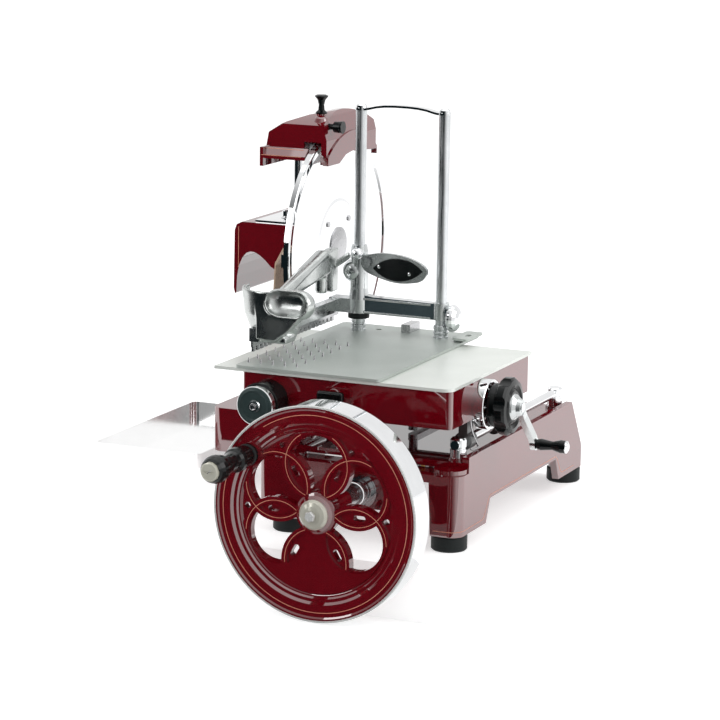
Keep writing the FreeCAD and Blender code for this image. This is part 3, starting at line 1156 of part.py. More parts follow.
def press():
    y = S.columns_y
    low = S.press_bottom
    bore = S.column_radius + S.sliding_fit
    half = S.beam_depth / 2
    end = S.right_column_x + 9
    side_view = [(S.left_column_x, low), (end, low), (end + 2, low + 8), (end, low + S.beam_end_height),
                 (S.right_column_x - 8, press_top - 2), (S.left_column_x + 24, press_top - 1),
                 (S.left_column_x, press_top + 2)]
    beam = padded("beam_bar", "XZ", side_view, y + half, S.beam_depth)
    waist = S.riser_top - low
    left = turned("riser", "+Z", (S.left_column_x, y, low),
                  [(0, 0), (0, S.sleeve_radius + 2), (waist * 0.2, S.sleeve_radius + 2),
                   (waist * 0.36, S.sleeve_radius + 0.5), (waist * 0.9, S.sleeve_radius),
                   (waist, S.sleeve_radius - 1.5), (waist, 0)])
    swelling = ball("riser_swelling", (S.left_column_x - 7, y, low + 56), S.sleeve_radius + 4)
    right = rod("right_sleeve", "+Z", (S.right_column_x, y, low), S.beam_height - 1, S.sleeve_radius - 1)
    run = S.columns_y - S.comb_front
    shelf = box("press_shelf", (S.comb_x - 4, S.left_column_x), (y - 12, y + 12), (low, press_top - 5))
    rail = box("press_rail", (S.comb_x - S.comb_thickness / 2, S.comb_x + S.comb_thickness / 2 + 6),
               (S.comb_front, y + 12), (low, press_top - 7))
    holes = [rod(f"{side}_press_bore", "+Z", (x, y, low - 5), 200, bore)
             for side, x in (("left", S.left_column_x), ("right", S.right_column_x))]
    pivot_x, pivot_z = S.pivot_x, S.pivot_z
    ear = box("pivot_ear", (S.left_column_x, pivot_x + 6), (y - 8, y + 2), (pivot_z - 6, pivot_z + 6))
    pin = rod("pivot_pin", "-Y", (pivot_x, y, pivot_z), 30, S.pivot_radius)
    pivot_head = rod("pivot_head", "-Y", (pivot_x, y - 30, pivot_z), 3, 6.5)
    whole = fuse("press_whole", beam, left, swelling, right, shelf, rail, ear, pin, pivot_head)
    ball_knob = fuse("ball_knob", ball("knob_ball", (S.left_column_x + 5, y - 19, S.riser_top - 9), 8),
                     rod("knob_stem", "+Y", (S.left_column_x + 5, y - 16, S.riser_top - 9), 6, 3))
    dome = S.end_knob_radius
    end_knob = turned("end_knob", "+X", (S.right_column_x + S.column_radius + 3, y, low + 3),
                      [(0, 0), (0, dome * 0.7), (3, dome * 0.94), (5, dome), (7.5, dome), (11, dome * 0.9),
                       (14.5, dome * 0.7), (16.8, dome * 0.4), (17.6, 0)])
    keep("press_ball_knobs", together("ball_knob_pair", ball_knob, end_knob))
    keep("press_bridge", cut("bridge", whole, *holes, ball_knob, end_knob))
    teeth = []
    count = 21
    first = S.comb_front + 2
    pitch = (run - 4) / count
    for number in range(count):
        teeth.append(box(f"comb_tooth_{number}", (S.comb_x - 1, S.comb_x + 1.5),
                         (first + pitch * number, first + pitch * number + pitch * 0.55),
                         (S.comb_bottom, S.comb_bottom + S.tooth_height + 1)))
    strip = box("comb_strip", (S.comb_x - 1, S.comb_x + 1.5), (S.comb_front, y + 8),
                (S.comb_bottom + S.tooth_height, low))
    keep("press_comb", fuse("comb", strip, *teeth))
    radius = S.scoop_radius
    centre_x, centre_y = S.comb_x + 18, S.comb_front + 34
    tall = S.scoop_top - low
    inner = radius - S.scoop_wall
    wall = turned("scoop_round", "+Z", (centre_x, centre_y, low),
                  [(0, inner - 18), (8, inner - 15), (20, inner - 9), (36, inner - 3), (tall, inner),
                   (tall, radius), (36, radius - 3), (20, radius - 9), (8, radius - 15), (0, radius - 18)])
    back = box("scoop_back_cut", (centre_x - 80, centre_x + 80), (centre_y + 6, centre_y + 80), (low - 10, S.scoop_top + 10))
    side = box("scoop_side_cut", (centre_x + 30, centre_x + 80), (centre_y - 80, centre_y + 10),
               (low - 10, S.scoop_top + 10))
    corner = box("scoop_shelf", (S.comb_x - 4, centre_x + 30), (S.comb_front, S.comb_front + 30), (low, low + 8))
    saddle = box("scoop_saddle", (S.comb_x - 9, S.comb_x + 16), (S.comb_front + 20, S.comb_front + 52),
                 (low, press_top - 1))
    thumb = S.comb_x + 36
    thumb_z = low + 52
    ends = ((thumb, "left"), (thumb + 31, "right"))
    bulge = fuse("scoop_thumb_rest", rod("thumb_bar", "+X", (thumb, centre_y - 31, thumb_z), 31, 19),
                 *[ball(f"thumb_{end}_ball", (x, centre_y - 31, thumb_z), 19) for x, end in ends])
    hollow = fuse("scoop_thumb_hollow", rod("thumb_hollow_bar", "+X", (thumb + 5, centre_y - 47, thumb_z + 3), 22, 18),
                  *[ball(f"hollow_{end}_ball", (x, centre_y - 47, thumb_z + 3), 18)
                    for x, end in ((thumb + 5, "left"), (thumb + 27, "right"))])
    chin_outline = [(S.comb_x + 9, low + 5), (thumb, low + 4), (thumb + 18, low + 18), (thumb + 34, low + 36),
                    (thumb + 34, thumb_z), (S.comb_x + 9, thumb_z)]
    chin = padded("scoop_chin", "XZ", chin_outline, centre_y - 22, 20)
    scoop = cut("scoop", fuse("scoop_whole", cut("scoop_wall_piece", wall, back, side), corner, saddle, bulge, chin),
                hollow)
    arm_length = 176.0
    rise = 37.6
    cone = Part.makeCone(7, 17.5, math.hypot(arm_length, rise), FreeCAD.Vector(),
                         FreeCAD.Vector(0, arm_length, rise))
    round_arm = shaped("press_arm_cone", cone)
    place(round_arm, (S.comb_x, S.comb_front + 40, low + 34))
    flat_sides = box("press_arm_sides", (S.comb_x - 10.5, S.comb_x + 10.5), (S.comb_front, y + 20),
                     (low, S.scoop_top + 60))
    arm = common("press_arm_flattened", round_arm, flat_sides)
    top_z = low + 34 + rise
    plate = box("press_arm_plate", (S.comb_x - 6, S.comb_x + 6), (S.comb_front + 212, S.comb_front + 252),
                (top_z - 12, top_z + 14))
    upright = box("press_arm_upright", (S.comb_x - 6, S.comb_x + 6), (S.comb_front + 232, S.comb_front + 252),
                  (low + 28, top_z + 15))
    peg = rod("press_arm_peg", "+Z", (S.comb_x, S.comb_front + 210, low + 30), 34, 8)
    block = fuse("press_arm_block", plate, upright, peg)
    sloping = Part.makeCylinder(4.5, 34, FreeCAD.Vector(-4, 0, -6), FreeCAD.Vector(0.81, 0, 0.59))
    link = shaped("press_arm_link", sloping)
    place(link, (S.comb_x + 4, S.comb_front + 244, low + 66))
    foot = box("press_arm_foot", (S.comb_x - 6, S.comb_x + 6), (S.comb_front + 34, S.comb_front + 52),
               (press_top - 2, low + 40))
    clear = S.face_gap / 2
    clearance = rod("arm_clearance", "+Z", (S.left_column_x, y, low), S.riser_top - low,
                    S.sleeve_radius + 2.5 + clear)
    round_swelling = ball("swelling_clearance", (S.left_column_x - 7, y, low + 56), S.sleeve_radius + 4 + clear)
    keep("press_scoop", cut("scoop_and_arm", fuse("scoop_arm_whole", scoop, arm, block, link, foot), clearance,
                            round_swelling, rail, shelf))
    thick = S.lever_thickness
    start = y - 20 - S.face_gap
    length, height = S.lever_length.value, S.lever_height.value
    blank = shaped("lever_blank", lever_face(length, height).extrude(FreeCAD.Vector(0, -thick.value, 0)))
    place(blank, (pivot_x, start, pivot_z))
    hole = rod("lever_hole", "-Y", (pivot_x, y - 10, pivot_z), 40, S.pivot_radius + S.running_fit)
    lever = cut("lever", blank, hole)
    oval = shaped("lever_oval", almond_face(length * 0.1, length * 0.85, height * 0.4)
                  .extrude(FreeCAD.Vector(0, -2, 0)))
    place(oval, (pivot_x, start - thick, pivot_z - 7))
    keep("press_lever", together("lever_and_insert", lever, oval))


def lever_face(length, height):
    """The lever's outline in the XZ plane: blunt at both ends, drooping towards its free end."""
    around = ((-0.053, 0.21), (0.213, 0.355), (0.5, 0.33), (0.766, 0.158), (0.915, -0.158), (0.872, -0.447),
              (0.702, -0.613), (0.479, -0.658), (0.266, -0.58), (0.085, -0.447), (-0.053, -0.263), (-0.096, -0.026))
    points = [FreeCAD.Vector(length * along, 0, height * up) for along, up in around]
    curve = Part.BSplineCurve()
    curve.interpolate(Points=points, PeriodicFlag=True)
    return Part.Face(Part.Wire([curve.toShape()]))


def almond_face(start, end, half_height):
    """A pointed oval in the XZ plane."""
    first = FreeCAD.Vector(start, 0, 0)
    last = FreeCAD.Vector(end, 0, 0)
    middle = (start + end) / 2
    top = Part.Arc(first, FreeCAD.Vector(middle, 0, half_height), last).toShape()
    low = Part.Arc(last, FreeCAD.Vector(middle, 0, -half_height), first).toShape()
    return Part.Face(Part.Wire([top, low]))


# ---------------------------------------------------------------- the whole machine

def build():
    base_casting()
    rubber_feet()
    carriage_guides()
    flywheel()
    flywheel_band()
    hub_cap()
    flywheel_shaft()
    handle_parts()
    front_bearing()
    bushes()
    place_gear("crank_pinion", "-Y", S.shaft_radius.value, 9, S.crank_y)
    place_gear("crank_gear", "+Z", S.crank_shaft_radius.value, 0, S.crank_y)
    place_gear("knife_pinion", "+Y", S.shaft_radius.value, 9, S.cross_y)
    place_gear("cross_gear", "-X", S.crank_shaft_radius.value, 0, S.cross_y)
    crank()
    cross_shaft()
    sprocket("lower_sprocket", S.cross_y, S.wheel_z, S.lower_chain_radius, 32, S.crank_shaft_radius)
    sprocket("upper_sprocket", S.blade_y, S.blade_z, S.upper_chain_radius, 16, S.knife_shaft_radius)
    drive_chain()
    blade()
    guard_ring()
    carrier()
    gear_cover()
    head_plate()
    slice_deflector()
    sharpener()
    tray()
    carriage_box()
    carriage_table()
    underframe()
    feed_screw()
    feed_crank()
    thickness_control()
    release_control()
    feed_table()
    columns()
    press()


def check():
    doc.recompute()
    faults = []
    for obj in doc.Objects:
        if "Invalid" in obj.State or "Error" in obj.State:
            faults.append(f"{obj.Label}: {obj.State}")
    for obj in PIECES:
        if obj.Shape.isNull() or not obj.Shape.isValid() or not obj.Shape.Solids:
            faults.append(f"{obj.Label}: no valid solid")
    if faults:
        raise RuntimeError("; ".join(faults))


def export():
    os.makedirs("parts", exist_ok=True)
    for obj in PIECES:
        obj.Shape.exportStep(f"parts/{obj.Label}.step")
    print(len(PIECES), "sub-parts written")


build()
check()
export()
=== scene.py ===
import math

import bpy
from mathutils import Matrix, Vector
from mathutils.bvhtree import BVHTree


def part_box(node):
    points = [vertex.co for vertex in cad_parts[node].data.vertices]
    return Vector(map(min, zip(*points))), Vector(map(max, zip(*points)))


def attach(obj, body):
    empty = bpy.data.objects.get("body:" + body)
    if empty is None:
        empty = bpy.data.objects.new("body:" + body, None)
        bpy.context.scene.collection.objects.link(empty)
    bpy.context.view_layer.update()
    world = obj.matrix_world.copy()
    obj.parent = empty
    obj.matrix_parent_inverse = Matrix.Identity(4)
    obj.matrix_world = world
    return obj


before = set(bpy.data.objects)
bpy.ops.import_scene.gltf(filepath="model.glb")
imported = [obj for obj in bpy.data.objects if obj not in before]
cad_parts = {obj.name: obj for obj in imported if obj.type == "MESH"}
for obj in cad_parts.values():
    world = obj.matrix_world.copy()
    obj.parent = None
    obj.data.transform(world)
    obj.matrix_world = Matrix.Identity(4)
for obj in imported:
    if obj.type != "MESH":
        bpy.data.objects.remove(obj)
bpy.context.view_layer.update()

MM = 0.001
FRONT = Vector((0, -1, 0))
BACK = Vector((0, 1, 0))
SIDE = Vector((1, 0, 0))
UP = Vector((0, 0, 1))
SHARP = math.radians(35)
WHITE = (1, 1, 1)


def place(x, y, z):
    """A place given in millimetres."""
    return Vector((x, y, z)) * MM


# ---------------------------------------------------------------- shader maths


class Value:
    """A number or a colour that varies over a surface."""

    def __init__(self, finish, socket):
        self.finish = finish
        self.socket = socket

    def maths(self, kind, first, second):
        return self.finish.node("ShaderNodeMath", {"operation": kind}, first, second)

    def __add__(self, other):
        return self.maths("ADD", self, other)

    def __radd__(self, other):
        return self.maths("ADD", other, self)

    def __mul__(self, other):
        return self.maths("MULTIPLY", self, other)

    def __rmul__(self, other):
        return self.maths("MULTIPLY", other, self)

    def larger(self, other):
        return self.maths("MAXIMUM", self, other)


class Finish:
    """One node material, or the world."""

    def __init__(self, name, tree=None):
        if tree is None:
            self.material = bpy.data.materials.new(name)
            self.material.use_nodes = True
            tree = self.material.node_tree
        self.tree = tree
        self.tree.nodes.clear()

    def node(self, kind, settings=None, *values, pick=0, at=None, **named):
        """A node of that kind: its settings first, then its sockets in order, by number and by name."""
        made = self.tree.nodes.new(kind)
        for key, setting in (settings or {}).items():
            if key == "stops":
                self.stops(made.color_ramp, setting)
            else:
                setattr(made, key, setting)
        for spot, value in [*enumerate(values), *(at or {}).items(), *named.items()]:
            socket = made.inputs[spot.replace("_", " ") if isinstance(spot, str) else spot]
            if isinstance(value, Value):
                self.tree.links.new(value.socket, socket)
            elif socket.type == "RGBA":
                socket.default_value = (*value, 1)
            else:
                socket.default_value = value
        return Value(self, made.outputs[pick]) if made.outputs else None

    def stops(self, ramp, wanted):
        while len(ramp.elements) < len(wanted):
            ramp.elements.new(1.0)
        for stop, (where, shade) in zip(ramp.elements, wanted):
            stop.position = where
            stop.color = (shade, shade, shade, 1)

    def noise(self, scale, detail=3.0, stretch=(1, 1, 1)):
        there = self.node("ShaderNodeMapping", None, self.node("ShaderNodeTexCoord", pick="Object"),
                          Scale=stretch)
        return self.node("ShaderNodeTexNoise", None, there, Scale=scale, Detail=detail)

    def ramp(self, value, *wanted):
        return self.node("ShaderNodeValToRGB", {"stops": wanted}, value)

    def blend(self, amount, first, second):
        """From the first colour to the second."""
        return self.node("ShaderNodeMix", {"data_type": "RGBA"}, at={0: amount, 6: first, 7: second}, pick=2)

    def patches(self, scale, first, second):
        """Slow, faint changes of tone over a piece."""
        return self.blend(self.ramp(self.noise(scale), (0.3, 0), (0.7, 1)), first, second)

    def gloss(self, pattern, smoothest, roughest, low=0.3, high=0.7):
        """Roughness that follows a pattern."""
        return self.ramp(pattern, (low, smoothest), (high, roughest))

    def bump(self, height, strength):
        return self.node("ShaderNodeBump", None, Strength=strength, Distance=0.2 * MM, Height=height)

    def done(self, **sockets):
        """The shader: plain numbers on its own sockets, links only where the surface varies."""
        shader = self.node("ShaderNodeBsdfPrincipled", None, **sockets)
        self.node("ShaderNodeOutputMaterial", None, shader)
        return self.material


# ---------------------------------------------------------------- finishes


def enamel():
    """Deep red stove enamel: dull colour below, a thick and very glossy clear coat above."""
    coat = Finish("red_enamel")
    colour = coat.patches(9.0, (0.125, 0.0012, 0.0050), (0.150, 0.0018, 0.0065))
    return coat.done(Base_Color=colour, Roughness=coat.gloss(coat.noise(22.0, 2.0), 0.30, 0.40), IOR=1.5,
                     Specular_IOR_Level=0.0, Coat_Weight=1.0, Coat_IOR=2.6, Coat_Roughness=0.03)


def polished(name, dull, bright, rough, grain=(60, 60, 60), strength=0.015):
    """Bright metal with a fine grain."""
    metal = Finish(name)
    grains = metal.noise(14.0, 4.0, grain)
    wear = metal.gloss(grains, rough * 0.7, rough * 1.4, low=0.35, high=0.65)
    return metal.done(Base_Color=metal.patches(30.0, dull, bright), Metallic=1.0, Roughness=wear,
                      Normal=metal.bump(grains, strength))


def plate(name, dull, pale, rough):
    """Satin plate: about a third metal, the rest chalky."""
    metal = Finish(name)
    fine = metal.noise(700.0, 2.0)
    return metal.done(Base_Color=metal.patches(12.0, dull, pale), Metallic=0.35,
                      Roughness=metal.gloss(fine, rough * 0.85, rough * 1.15),
                      Normal=metal.bump(fine, 0.06))


def grained(name, shade, rough, peel=900.0, strength=0.03):
    """Plastic, rubber or stone with a fine grain."""
    resin = Finish(name)
    fine = resin.noise(peel, 2.0)
    lighter = tuple(part * 1.5 for part in shade)
    return resin.done(Base_Color=resin.patches(25.0, shade, lighter), Specular_IOR_Level=0.28,
                      Roughness=resin.gloss(fine, rough * 0.85, rough * 1.15),
                      Normal=resin.bump(fine, strength))


def gold_paint():
    """Thin gold lining paint, a little uneven."""
    paint = Finish("gold_lining")
    fine = paint.noise(500.0, 2.0)
    return paint.done(Base_Color=paint.patches(60.0, (0.55, 0.22, 0.14), (0.66, 0.30, 0.20)), Metallic=0.2,
                      Roughness=paint.gloss(fine, 0.3, 0.5), Normal=paint.bump(fine, 0.05))


FINISHES = {
    "enamel": enamel(),
    "gold": gold_paint(),
    "chrome": polished("chrome", (0.76, 0.77, 0.78), (0.84, 0.85, 0.86), 0.05),
    "column_chrome": polished("column_chrome", (0.60, 0.62, 0.63), (0.70, 0.72, 0.73), 0.30,
                              grain=(40, 40, 1), strength=0.005),
    "steel": polished("steel", (0.42, 0.42, 0.43), (0.55, 0.55, 0.56), 0.22),
    "nickel": plate("satin_nickel", (0.50, 0.49, 0.42), (0.60, 0.59, 0.51), 0.22),
    "blade_steel": polished("blade_steel", (0.88, 0.89, 0.90), (0.95, 0.95, 0.96), 0.12),
    "warm_steel": plate("warm_steel", (0.58, 0.42, 0.30), (0.68, 0.52, 0.40), 0.30),
    "silver_plate": plate("silver_plate", (0.62, 0.63, 0.62), (0.74, 0.75, 0.74), 0.25),
    # painted shade: a dark finish that stands for the shade inside the beam's recess
    "beam_painted_shade": plate("beam_painted_shade", (0.030, 0.050, 0.060), (0.060, 0.085, 0.095), 0.30),
    "tray_steel": polished("tray_steel", (0.97, 0.97, 0.97), (0.99, 0.99, 0.99), 0.12),
    "aluminium": polished("cast_aluminium", (0.46, 0.48, 0.47), (0.56, 0.58, 0.57), 0.24,
                          grain=(2, 2, 2), strength=0.002),
    "polished_aluminium": polished("polished_aluminium", (0.56, 0.58, 0.58), (0.68, 0.70, 0.70), 0.20,
                                   grain=(4, 4, 4), strength=0.003),
    # The two plates are one satin finish: the feed plate's copy is darkened as painted shade, the lower
    # plate's copy lightened as painted light.
    "feed_plate_painted_shade": plate("feed_plate_painted_shade", (0.40, 0.44, 0.41), (0.47, 0.51, 0.48), 0.36),
    "lower_plate": plate("lower_plate", (0.72, 0.75, 0.71), (0.78, 0.81, 0.77), 0.36),
    "black_plastic": grained("black_plastic", (0.0016, 0.0026, 0.0028), 0.16),
    "black_rubber": grained("black_rubber", (0.0030, 0.0055, 0.0056), 0.5, peel=1500.0, strength=0.12),
    "knob_face": grained("knob_face", (0.020, 0.034, 0.034), 0.35),
    "bronze": polished("bronze", (0.45, 0.28, 0.10), (0.55, 0.35, 0.14), 0.3),
    "cast_iron": polished("cast_iron", (0.16, 0.16, 0.16), (0.22, 0.22, 0.22), 0.45),
    "stone": grained("grinding_stone_grey", (0.25, 0.25, 0.24), 0.9, peel=2500.0, strength=0.3),
}

FINISHED_IN = {
    "enamel": "base_casting flywheel blade_carrier gear_cover sharpener_hood carriage_box",
    "column_chrome": "columns",
    "chrome": "carriage_guides flywheel_band front_bearing guard_ring cap_nuts dial_ring "
              "press_ball_knobs head_plate hood_posts thickness_knob feed_screw top_strap",
    "nickel": "hub_cap",
    "steel": "flywheel_shaft crankshaft cross_shaft knife_shaft lower_sprocket upper_sprocket "
             "drive_chain blade_fasteners feed_nut gripping_pins press_comb stone_holder",
    "blade_steel": "blade",
    "warm_steel": "slice_deflector",
    "tray_steel": "receiving_tray",
    "aluminium": "press_scoop",
    "polished_aluminium": "press_bridge press_lever feed_crank",
    "feed_plate_painted_shade": "feed_table",
    "lower_plate": "carriage_table",
    "black_plastic": "handle_grip handle_spindle thickness_drum release_knob feed_handwheel crank_grip "
                     "hood_lift_knob stone_button",
    "black_rubber": "rubber_feet rubber_stops",
    "bronze": "shaft_bushes screw_bearings",
    "cast_iron": "crank_pinion crank_gear knife_pinion cross_gear carriage_underframe",
    "stone": "grinding_stone deburring_stone",
}
FINISH_OF = {node: finish for finish, nodes in FINISHED_IN.items() for node in nodes.split()}


def dress(node):
    """Gives a node of the machine its finish."""
    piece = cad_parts[node]
    piece.data.materials.clear()
    piece.data.materials.append(FINISHES[FINISH_OF[node]])


def repaint(node, finish, wanted):
    """Another finish for the faces of a node that wanted(their middle, in millimetres) picks."""
    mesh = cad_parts[node].data
    mesh.materials.append(FINISHES[finish])
    for face in mesh.polygons:
        if wanted(face.center / MM):
            face.material_index = len(mesh.materials) - 1


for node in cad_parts:
    dress(node)

# ---------------------------------------------------------------- ways of making a piece

BEND_STEPS = 6
LINE_WIDTH, LINE_HEIGHT, LINE_SINK, LINE_TAPER = 0.9, 0.16, 0.05, 0.8


def machine_piece(name, corners, faces, finish, body, smooth=True):
    """A piece of its own mesh that rides on a body of the machine."""
    mesh = bpy.data.meshes.new(name)
    mesh.from_pydata(corners, [], faces)
    mesh.materials.append(FINISHES[finish])
    mesh.update()
    if smooth:
        mesh.shade_smooth()
    made = bpy.data.objects.new(name, mesh)
    bpy.context.collection.objects.link(made)
    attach(made, body)
    return made


def joined_rings(rings):
    """Faces that join rings of corners, with a face at both ends."""
    around = len(rings[0])
    faces = []
    for row in range(len(rings) - 1):
        low, high = row * around, (row + 1) * around
        for step in range(around):
            beside = (step + 1) % around
            faces.append((low + step, low + beside, high + beside, high + step))
    top = (len(rings) - 1) * around
    faces.append(tuple(reversed(range(around))))
    faces.append(tuple(range(top, top + around)))
    return faces


def ring_piece(name, rings, finish, body, smooth=True):
    """A piece whose skin runs through rings of corners."""
    corners = [corner for ring in rings for corner in ring]
    return machine_piece(name, corners, joined_rings(rings), finish, body, smooth)


def out_at(turn, side, other, radius):
    """A step of radius millimetres, at a turn from one way towards another."""
    return (side * math.cos(turn) + other * math.sin(turn)) * radius * MM


def way_along(spine, index):
    """The way a spine runs at one of its spots."""
    before = spine[max(index - 1, 0)]
    after = spine[min(index + 1, len(spine) - 1)]
    return (after - before).normalized()


def lining(name, spine, outs, body, width=LINE_WIDTH):
    """A painted line: a low ribbon that lies on the surface, whose outward ways are outs."""
    rings = []
    for index, (spot, out) in enumerate(zip(spine, outs)):
        across = way_along(spine, index).cross(out).normalized() * (width / 2 * MM)
        low, high = spot - out * LINE_SINK * MM, spot + out * LINE_HEIGHT * MM
        rings.append((low - across, high - across * LINE_TAPER, high + across * LINE_TAPER, low + across))
    return ring_piece(name, rings, "gold", body, smooth=False)


def wire(name, spine, radius, body, sides=10):
    """A round steel wire along a spine."""
    rings = []
    side = way_along(spine, 0).orthogonal().normalized()
    for index, spot in enumerate(spine):
        ahead = way_along(spine, index)
        side = (side - ahead * side.dot(ahead)).normalized()
        other = ahead.cross(side)
        rings.append([spot + out_at(math.tau * step / sides, side, other, radius) for step in range(sides)])
    return ring_piece(name, rings, "steel", body)


def bend(corners):
    """A smooth run through given corners."""
    run = []
    for index in range(len(corners) - 1):
        before = corners[max(index - 1, 0)]
        first, second = corners[index], corners[index + 1]
        after = corners[min(index + 2, len(corners) - 1)]
        for step in range(BEND_STEPS):
            part = step / BEND_STEPS
            run.append(0.5 * ((2 * first) + (second - before) * part
                              + (2 * before - 5 * first + 4 * second - after) * part ** 2
                              + (3 * first - before - 3 * second + after) * part ** 3))
    return run + [corners[-1]]


def lathe(name, centre, axis, profile, finish, body, steps):
    """A turned piece: profile is a list of (distance along the axis, radius) that starts and ends on it."""
    across = axis.orthogonal().normalized()
    other = axis.cross(across)
    corners = [centre + axis * profile[0][0] * MM]
    for along, radius in profile[1:-1]:
        for step in range(steps):
            out = out_at(math.tau * step / steps, across, other, radius)
            corners.append(centre + axis * along * MM + out)
    corners.append(centre + axis * profile[-1][0] * MM)
    faces = []
    rows = len(profile) - 2
    top = 1 + (rows - 1) * steps
    for step in range(steps):
        beside = (step + 1) % steps
        faces.append((0, 1 + beside, 1 + step))
        for row in range(rows - 1):
            low, high = 1 + row * steps, 1 + (row + 1) * steps
            faces.append((low + step, low + beside, high + beside, high + step))
        faces.append((top + step, top + beside, len(corners) - 1))
    made = machine_piece(name, corners, faces, finish, body)
    made.data.set_sharp_from_angle(angle=SHARP)


SURFACES = {}


def touch(node, start, towards):
    """Where a look from start towards a place first meets a node, and the surface's outward way there."""
    if node not in SURFACES:
        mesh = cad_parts[node].data
        SURFACES[node] = BVHTree.FromPolygons([corner.co for corner in mesh.vertices],
                                              [tuple(face.vertices) for face in mesh.polygons])
    ahead = (towards - start).normalized()
    spot, out, _, _ = SURFACES[node].ray_cast(start, ahead)
    if spot is None:
        return None
    return spot, (out if out.dot(ahead) < 0 else -out)


def laid_line(name, node, looks, body):
    """A painted line that follows a node's surface, from a list of looks at it."""
    found = [spot for spot in (touch(node, start, towards) for start, towards in looks) if spot]
    lining(name, [spot for spot, _ in found], [out for _, out in found], body)


def between(first, last, steps):
    """Evenly spaced spots from first to last."""
    return [first.lerp(last, step / steps) for step in range(steps + 1)]


def looks_along(first, last, steps, way):
    """Looks one way from evenly spaced spots."""
    return [(spot, spot + way) for spot in between(first, last, steps)]


def off_axis(spot, x, z):
    """How far a spot lies from an axis that runs from front to back, in millimetres."""
    return math.hypot(spot.x - x, spot.z - z)


# ---------------------------------------------------------------- ways of softening edges


def round_edges(node, width):
    """A small round on the sharp edges of a node of the machine."""
    bevel = round_piece(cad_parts[node], width)
    bevel.limit_method = "ANGLE"
    bevel.angle_limit = SHARP
    bevel.use_clamp_overlap = True


def round_piece(piece, width):
    bevel = piece.modifiers.new("rounded_edges", "BEVEL")
    bevel.width = width * MM
    bevel.segments = 3
    return bevel


def cast_look(node, grain, passes):
    """Melts the sharp joints of a casting into soft fillets."""
    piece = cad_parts[node]
    remesh = piece.modifiers.new("even_skin", "REMESH")
    remesh.mode = "VOXEL"
    remesh.voxel_size = grain * MM
    remesh.use_smooth_shade = True
    soften = piece.modifiers.new("soft_fillets", "SMOOTH")
    soften.factor = 0.5
    soften.iterations = passes


# ---------------------------------------------------------------- wheel

WHEEL_X, WHEEL_Z = -112, 68
PETAL_CIRCLE = 61
LINE_RADIUS = 41.5
LINE_FACE = -158
PETAL_TURNS = (30.6, 160.3)
LOBE_TURNS = (84, 160)
PETAL_SIDES = ((30, 1), (30, -1), (90, 1), (90, -1), (150, 1), (150, -1), (210, -1), (330, 1))
LOBE_SIDES = ((270, 1), (270, -1))
RIM_LINE_FACE = -163
RIM_LINE_RADIUS = 123.6
RIM_LINE_TURNS = (164, 484)


def arc(x, z, face, radius, first, last, step=4):
    """Points round a centre in a plane that faces the operator; angles in degrees."""
    count = max(2, int(abs(last - first) / step))
    turns = [math.radians(first + (last - first) * part / count) for part in range(count + 1)]
    return [place(x + radius * math.cos(turn), face, z + radius * math.sin(turn)) for turn in turns]


def wheel_lines():
    """Gold lines along the bands of the petals and the solid lobe, and one round the rim."""
    runs = [(petal, way, PETAL_TURNS) for petal, way in PETAL_SIDES]
    runs += [(petal, way, LOBE_TURNS) for petal, way in LOBE_SIDES]
    for number, (petal, way, (first, last)) in enumerate(runs, start=1):
        x = WHEEL_X + PETAL_CIRCLE * math.cos(math.radians(petal))
        z = WHEEL_Z + PETAL_CIRCLE * math.sin(math.radians(petal))
        spine = arc(x, z, LINE_FACE, LINE_RADIUS, petal + way * first, petal + way * last)
        lining(f"petal_line_{number}", spine, [FRONT] * len(spine), "drive_wheel")
    spine = arc(WHEEL_X, WHEEL_Z, RIM_LINE_FACE, RIM_LINE_RADIUS, *RIM_LINE_TURNS, step=3)
    lining("rim_line", spine, [FRONT] * len(spine), "drive_wheel", width=1.0)


def hub_nut():
    """The faceted nut in the middle of the hub cap."""
    sides, twist, radius, depth, sunk = 6, 0.3, 7.0, 4.5, 1.5
    middle = place(WHEEL_X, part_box("hub_cap")[0].y / MM + sunk, WHEEL_Z)
    turns = [math.tau * (step + twist) / sides for step in range(sides)]
    rings = [[middle + out_at(turn, SIDE, UP, wide) + FRONT * along * MM for turn in turns]
             for along, wide in ((0, radius), (depth * 0.6, radius), (depth, radius * 0.82))]
    ring_piece("hub_nut", rings, "silver_plate", "drive_wheel", smooth=False)


def grip_end():
    """The grip's silver end and the slot of its screw."""
    low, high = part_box("handle_grip")
    middle = (low + high) / 2 / MM
    end, end_depth, end_radius, slot_reach, slot_radius = low.y / MM, 3.4, 11.8, 3.4, 0.5
    repaint("handle_grip", "nickel",
            lambda spot: spot.y < end + end_depth and off_axis(spot, middle.x, middle.z) < end_radius)
    screw = place(middle.x, end + 0.05, middle.z)
    slot = Vector((0.75, 0, 0.66)) * slot_reach * MM
    wire("grip_screw_slot", [screw - slot, screw + slot], slot_radius, "wheel_handle", sides=8)


# ---------------------------------------------------------------- base, hood and head lines

OUTSIDE = 60


def base_lines():
    """A gold line along the foot of the legs and the lower edge of the right side, over its arch."""
    low, raised, corner_x, corner_y = 27, 54, 6, -7
    looks = looks_along(place(-13, -OUTSIDE, low), place(corner_x, -OUTSIDE, low), 6, BACK)
    corner = place(corner_x, corner_y, low)
    for turn in range(-80, 1, 10):
        out = Vector((math.cos(math.radians(turn)), math.sin(math.radians(turn)), 0))
        looks.append((corner + out * (OUTSIDE * MM), corner))
    path = [(0, low), (56, low), (62, low + 3), (76, raised - 4), (82, raised),
            (320, raised), (326, raised - 4), (340, low + 3), (346, low), (414, low)]
    outside = [place(OUTSIDE, y, z) for y, z in path]
    for first, last in zip(outside, outside[1:]):
        looks += looks_along(first, last, 3, -SIDE)[:-1]
    laid_line("right_leg_line", "base_casting", looks, "machine_base")
    looks = looks_along(place(-238, -OUTSIDE, low), place(-202, -OUTSIDE, low), 8, BACK)
    laid_line("left_leg_line", "base_casting", looks, "machine_base")


